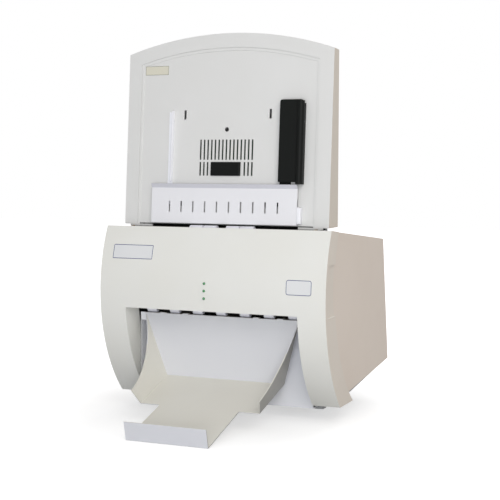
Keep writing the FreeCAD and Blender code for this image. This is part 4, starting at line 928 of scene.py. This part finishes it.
@dataclass
class RearCase:
    """The sheet cover, its rear panel and the screws that hold what is mounted there."""

    edge: float = 1.2 * MM
    panel_foot: tuple[float, float, float] = (0.0, 0.338988, 0.092)
    panel_lean: float = 8.83
    panel_half: float = 0.262
    fan: tuple[float, float] = (-0.110, 0.170)
    fan_pitch: float = 0.0715
    inlet: tuple[float, float] = (0.150, 0.050)
    back_foot: tuple[float, float, float] = (0.0, 0.006888, 0.431)
    back_lean: float = -0.47
    back_half: float = 0.236

    def screws(
        self, name: str, places: list[tuple[float, float]], radius: float, foot: tuple[float, float, float], lean: float
    ) -> bpy.types.Object:
        """Screws in a leaning face at the back.

        Args:
            name: The piece's name.
            places: X along the face and height up it, of each.
            radius: Radius of their heads.
            foot: The face's lower edge, at the middle.
            lean: How far its top leans to the front, in degrees.

        Returns:
            The screws.
        """
        mesh = screw_heads(places, radius)
        turn = Matrix.Translation(foot) @ Matrix.Rotation(math.radians(lean), 4, "X")
        bmesh.ops.transform(mesh, matrix=turn, verts=mesh.verts)
        piece = finished(mesh, name, [STEEL], "case")
        smooth(piece, 50)
        return piece

    def build(self) -> None:
        """Builds the cover, a dark sheet of painted shadow behind the louvres, and the screws."""
        moulded("rear_cover", COVER, self.edge, 2)
        near = self.panel_half - 9 * MM
        rim = [(x, z) for x in (-near, -near / 3, near / 3, near) for z in (9 * MM, 0.288)]
        rim += [(x, 0.15) for x in (-near, near)]
        # A near-black sheet behind the louvres stands in for the shadow inside them: painted shadow.
        shadow_low, shadow_high = Vector((-0.238, -0.0045, 0.045)), Vector((-0.162, -0.0018, 0.215))
        shadow_sheet = block(shadow_low, shadow_high)
        turn = Matrix.Translation(self.panel_foot) @ Matrix.Rotation(math.radians(self.panel_lean), 4, "X")
        bmesh.ops.transform(shadow_sheet, matrix=turn, verts=shadow_sheet.verts)
        finished(shadow_sheet, "louvre_painted_shadow", [SLOT_BLACK], "case")
        self.screws("rear_panel_screws", rim, 3.2 * MM, self.panel_foot, self.panel_lean)
        step = self.fan_pitch / 2
        fan = [(self.fan[0] + x, self.fan[1] + z) for x in (-step, step) for z in (-step, step)]
        self.screws("fan_screws", fan, 2.6 * MM, self.panel_foot, self.panel_lean)
        back = [(x, z) for x in (-self.back_half, 0.0, self.back_half) for z in (0.012, 0.372)]
        back += [(x, 0.19) for x in (-self.back_half, self.back_half)]
        self.screws("feeder_back_screws", back, 3.0 * MM, self.back_foot, self.back_lean)


@dataclass
class Studio:
    """Floor, light and camera."""

    eye: tuple[float, float, float] = (1.10837, -2.48159, 0.58455)
    yaw: float = 23.24
    pitch: float = 4.436
    focal_pixels: float = 1202.92
    frame_pixels: float = 500.0
    sensor: float = 36.0
    floor_size: float = 14.0
    floor_lift: float = 0.57
    near_floor: float = 0.25
    far_floor: float = 0.8
    world_level: float = 0.48
    world_tint: tuple[float, float, float, float] = (0.98, 0.98, 1.0, 1.0)
    lamps: list[tuple[str, tuple[float, float, float], tuple[float, float], float, tuple[float, float, float]]] = field(
        default_factory=lambda: [
            ("key", (2.0, -2.6, 2.2), (1.8, 1.8), 41.0, (1.0, 0.98, 0.94)),
            ("low", (0.9, -3.0, 0.3), (1.4, 0.6), 24.0, (0.94, 0.97, 1.0)),
            ("side", (2.8, -0.2, 2.4), (1.6, 1.6), 5.0, (1.0, 0.88, 0.74)),
            ("rear", (0.6, 2.4, 2.6), (2.4, 1.6), 26.0, (1.0, 0.98, 0.95)),
        ]
    )

    def camera(self) -> bpy.types.Object:
        """The camera at the photograph's place.

        Returns:
            The camera.
        """
        data = bpy.data.cameras.new("camera")
        data.sensor_width = self.sensor
        data.lens = self.focal_pixels / self.frame_pixels * self.sensor
        data.clip_end = 50.0
        camera = bpy.data.objects.new("camera", data)
        camera.location = self.eye
        camera.rotation_euler = (math.radians(90.0 - self.pitch), 0.0, math.radians(self.yaw))
        bpy.context.scene.collection.objects.link(camera)
        bpy.context.scene.camera = camera
        return camera

    def floor(self) -> bpy.types.Object:
        """A pale floor that the camera sees as white, and that keeps the shadow.

        Returns:
            The floor.
        """
        mesh = bmesh.new()
        bmesh.ops.create_grid(mesh, x_segments=1, y_segments=1, size=self.floor_size / 2)
        data = bpy.data.meshes.new("floor")
        mesh.to_mesh(data)
        mesh.free()
        floor = bpy.data.objects.new("floor", data)
        bpy.context.scene.collection.objects.link(floor)
        data.materials.append(self.floor_material())
        return floor

    def floor_material(self) -> bpy.types.Material:
        """A pale floor; what the camera sees of it is lifted to white, more so away from the product.

        Returns:
            The material.
        """
        material = bpy.data.materials.new("floor_white")
        material.use_nodes = True
        tree = material.node_tree
        shader = tree.nodes["Principled BSDF"]
        shader.inputs["Base Color"].default_value = (0.6, 0.6, 0.6, 1.0)
        shader.inputs["Roughness"].default_value = 0.9
        shader.inputs["Emission Color"].default_value = (1.0, 1.0, 1.0, 1.0)
        path = tree.nodes.new("ShaderNodeLightPath")
        where = tree.nodes.new("ShaderNodeTexCoord")
        span = tree.nodes.new("ShaderNodeVectorMath")
        span.operation = "LENGTH"
        reach = tree.nodes.new("ShaderNodeMapRange")
        reach.interpolation_type = "SMOOTHSTEP"
        reach.inputs["From Min"].default_value = self.near_floor
        reach.inputs["From Max"].default_value = self.far_floor
        reach.inputs["To Min"].default_value = self.floor_lift
        reach.inputs["To Max"].default_value = 1.0
        seen = tree.nodes.new("ShaderNodeMath")
        seen.operation = "MULTIPLY"
        tree.links.new(where.outputs["Object"], span.inputs[0])
        tree.links.new(span.outputs["Value"], reach.inputs["Value"])
        tree.links.new(reach.outputs["Result"], seen.inputs[0])
        tree.links.new(path.outputs["Is Camera Ray"], seen.inputs[1])
        tree.links.new(seen.outputs[0], shader.inputs["Emission Strength"])
        return material

    def world(self) -> None:
        """White to the camera and to reflections, soft and dimmer as a light."""
        world = bpy.data.worlds.new("studio_world")
        world.use_nodes = True
        bpy.context.scene.world = world
        tree = world.node_tree
        background = tree.nodes["Background"]
        white = tree.nodes.new("ShaderNodeMix")
        white.data_type = "RGBA"
        tints = [socket for socket in white.inputs if socket.type == "RGBA"]
        tints[0].default_value = self.world_tint
        tints[1].default_value = (1.0, 1.0, 1.0, 1.0)
        path = tree.nodes.new("ShaderNodeLightPath")
        seen = tree.nodes.new("ShaderNodeMath")
        seen.operation = "MAXIMUM"
        level = tree.nodes.new("ShaderNodeMapRange")
        level.inputs["To Min"].default_value = self.world_level
        level.inputs["To Max"].default_value = 1.0
        tree.links.new(path.outputs["Is Camera Ray"], seen.inputs[0])
        tree.links.new(path.outputs["Is Transmission Ray"], seen.inputs[1])
        tree.links.new(seen.outputs[0], level.inputs["Value"])
        tree.links.new(level.outputs["Result"], background.inputs["Strength"])
        tree.links.new(seen.outputs[0], white.inputs["Factor"])
        tree.links.new([s for s in white.outputs if s.type == "RGBA"][0], background.inputs["Color"])

    def light(self) -> None:
        """Soft area lamps aimed at the middle of the product."""
        for name, place, size, watts, tint in self.lamps:
            data = bpy.data.lights.new(name, "AREA")
            data.shape = "RECTANGLE"
            data.size, data.size_y = size
            data.energy = watts
            data.color = tint
            lamp = bpy.data.objects.new(name, data)
            lamp.location = place
            lamp.rotation_euler = (Vector((0, 0, 0.4)) - Vector(place)).to_track_quat("-Z", "Y").to_euler()
            bpy.context.scene.collection.objects.link(lamp)

    def build(self) -> None:
        """Sets up the whole studio."""
        self.camera()
        self.floor()
        self.world()
        self.light()
        bpy.context.scene.view_settings.view_transform = "Standard"


def dress_nodes() -> None:
    """Gives every CAD node the finish of its slot in the record, or its own listed finish; the front plate's listed
    finish is painted light, and its side edges get painted shade.
    """
    for part in frame["record"]["subparts"]:
        node = frame["nodes"].get(part["node"])
        if node is None:
            continue
        node.data.materials.clear()
        finish = SLOT_FINISHES[part["material_slot"]]
        node.data.materials.append(NODE_FINISHES.get(part["node"], finish).material())
    # The front plate's side edges get the darker copy as painted shade.
    edge = frame["nodes"]["front_plate"]
    second_finish(edge, PLATE_EDGE_SHADE, lambda face: abs(face.center.x) > 0.1995 and face.normal.y < -0.3)


def main() -> None:
    """Builds the studio and the product's sub-assemblies in order."""
    logging.basicConfig(level=logging.INFO, format="%(message)s")
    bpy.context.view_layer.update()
    Studio().build()
    dress_nodes()
    for part in (FrontBezel(), FilmFeeder(), FilmTransport(), ExitTray(), RearCase()):
        part.build()
        log.info("%s is dressed", type(part).__name__)


if __name__ == "__main__":
    main()
